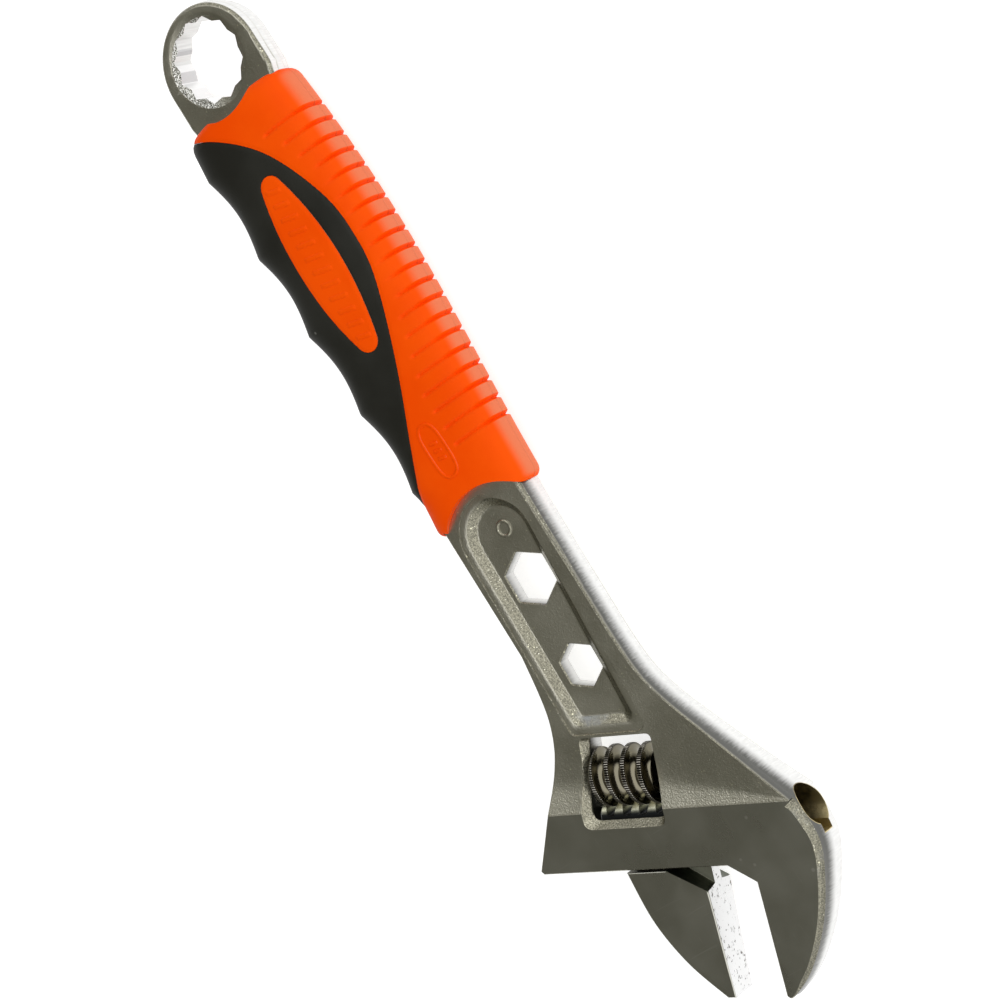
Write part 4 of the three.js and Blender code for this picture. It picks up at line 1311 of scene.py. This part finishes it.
def raisedStrip(centre, half, lean, side, across, count):
    # a leaning bar on the face: its skin stands over the face by the height times a rounded profile
    # in both directions
    s = np.linspace(-1, 1, across)[:, None]
    t = np.linspace(-1, 1, count)[None]
    x = centre[0] + s * half[0] + t * half[1] * lean
    y = centre[1] + t * half[1] + 0 * s
    rise = badge["height"] * (1 - s**4) * (1 - t**8)
    skin = onFace(x, y, side, rise - 0.02).reshape(-1, 3)
    return np.concatenate([skin, onFace(x, y, side, -0.35).reshape(-1, 3)])


def stripFaces(across, count):
    # a grid of points over another: skin, underside and the walls round them
    total = across * count
    top = gridFaces(across, count, closed=False)
    border = np.concatenate([
        np.arange(count), np.arange(2, across + 1) * count - 1,
        (across - 1) * count + np.arange(count - 1)[::-1], np.arange(across - 2, 0, -1) * count,
    ])
    after = np.roll(border, -1)
    walls = np.stack([border, border + total, after + total, after], -1)
    return np.concatenate([top, top[:, ::-1] + total, walls])


def ovalRim(number, side):
    # a raised oval rim: cosine and sine raised to less than 1, so that it is fuller than an ellipse
    rows, columns = 10, 72
    t = np.linspace(0, 2 * math.pi, columns, endpoint=False)[None]
    w = np.linspace(-1, 1, rows // 2)[:, None]
    x = sizeOval["x"] + (sizeOval["half"][0] + sizeOval["rim"] * w) * power(np.cos(t), 0.62)
    y = sizeOval["y"] + (sizeOval["half"][1] + sizeOval["rim"] * w) * power(np.sin(t), 0.75)
    skin = onFace(x, y, side, sizeOval["height"] * (1 - w**4) - 0.02)
    loop = np.concatenate([skin, onFace(x, y, side, -0.35)[::-1]])
    return edit(newMesh(f"size_oval_{number}", loop, tubeFaces(rows, columns)), outwards)


def makeBadgeRelief(material):
    # leaning bars along the badge in place of lettering, and an oval rim with short bars near the neck
    across, count = 5, 13
    one = stripFaces(across, count)
    bars = []
    for i in range(badge["bars"]):
        long = 2.9 - 0.024 * (i - 5.5) ** 2
        bars.append(((badge["barFirst"] + badge["barPitch"] * i, badge["y"]), (0.7, long), 0.28))
    bars += [((101.6 + 1.9 * i, sizeOval["y"]), (0.42, 1.25), 0.2) for i in range(3)]
    strips = [raisedStrip(*shape, side, across, count) for side in (1, -1) for shape in bars]
    quads = [one + i * 2 * across * count for i in range(len(strips))]
    item = edit(newMesh("badge_relief", np.concatenate(strips), np.concatenate(quads)), outwards)
    for number, side in enumerate((1, -1)):
        place(ovalRim(number, side), "handle", None, 50, material)
    return place(item, "handle", None, 50, material)


camera = {
    "at": (173.548, 350.340, 498.385),
    "right": (0.52843048, 0.66792499, -0.52405861),
    "up": (-0.84441564, 0.47740367, -0.24299787),
    "back": (0.08788315, 0.57093077, 0.81628096),
    "lens": 98.476,
}
light = {
    "sky": (1.0, 1.0, 1.0), "strength": 1.42,
    "horizon": 0.2,  # the sky's share left at the horizon
    "flag": (0.078, 0.0765, 0.063),  # the dark card that the flat faces mirror
    "flagToward": (-0.09, -0.76, 0.64), "inner": 40.0, "outer": 56.0,
    "floor": (0.6, 0.6, 0.6), "floorGlow": 0.72, "floorHalf": 6.0,
}


def makeCamera():
    data = bpy.data.cameras.new("camera")
    data.lens = camera["lens"]
    data.sensor_width = 36
    data.clip_end = 20
    item = bpy.data.objects.new("camera", data)
    bpy.context.scene.collection.objects.link(item)
    turn = Matrix([camera["right"], camera["up"], camera["back"]]).transposed()
    at = Vector(np.array(camera["at"]) * 0.001 + origin)
    item.matrix_world = Matrix.Translation(at) @ turn.to_4x4()
    bpy.context.scene.camera = item


def makeSky():
    # white, dimmer towards the horizon, with the dark card's round patch
    sky = bpy.data.worlds.new("sky")
    bpy.context.scene.world = sky
    sky.use_nodes = True
    tree = sky.node_tree
    tree.nodes.clear()
    direction = node(tree, "ShaderNodeTexCoord").outputs["Generated"]
    unit = vectorMaths(tree, "NORMALIZE", direction)
    close = dot(tree, unit, tuple(Vector(light["flagToward"]).normalized()))
    inner, outer = (math.cos(math.radians(light[k])) for k in ("inner", "outer"))
    level = ramp(tree, along(tree, unit, 2), 0.1, 0.45)
    low = tuple(light["horizon"] * c for c in light["sky"])
    colour = mix(tree, ramp(tree, close, outer, inner), mix(tree, level, low, light["sky"]), light["flag"])
    shader = node(tree, "ShaderNodeBackground", {"Color": colour, "Strength": light["strength"]})
    feed(tree, node(tree, "ShaderNodeOutputWorld").inputs["Surface"], shader.outputs[0])


def makeFloor():
    half = light["floorHalf"]
    spot = np.array([(-half, -half, 0), (half, -half, 0), (half, half, 0), (-half, half, 0)])
    item = newMesh("floor", spot, [(0, 1, 2, 3)])
    paper, tree, shader, where = startMaterial(
        "paleFloor", Roughness=0.9, Specular_IOR_Level=0.1, Emission_Color=(1, 1, 1, 1),
        Emission_Strength=light["floorGlow"],
    )
    pale = light["floor"]
    tint = mix(tree, noise(tree, where, 3.0, 2, 0.5), pale, tuple(0.99 * c for c in pale))
    feed(tree, shader["Base Color"], tint)
    item.data.materials.append(paper)


makeCamera()
makeSky()
makeFloor()
bpy.context.scene.view_settings.view_transform = "Standard"
stage("studio")

orange = softGrip("orangeRubber", {
    "colour": ((0.93, 0.075, 0.0), (0.97, 0.09, 0.0005)), "rough": 0.5, "sheen": 0.05,
    "dust": (1.0, 0.3, 0.1), "dustShare": 0.02, "seamAndSheen": True,
})
black = softGrip("blackRubber", {
    "colour": ((0.0125, 0.0122, 0.0088), (0.018, 0.0178, 0.0135)), "rough": 0.55, "sheen": 0.28,
    "dust": (0.2, 0.2, 0.18), "dustShare": 0.1, "seamAndSheen": False,
})
makeBody(forgedSteel())
makeJaw(groundSteel())
makeWorm(wormSteel())
makePin(pinSteel("pinSteel", (0.4, 0.39, 0.36), 0.32))
makeSpring(pinSteel("springSteel", (0.5, 0.5, 0.49), 0.25))
makeSleeve(orange)
makeInlay(black)
makeBadgeRelief(orange)

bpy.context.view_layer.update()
stage("done")
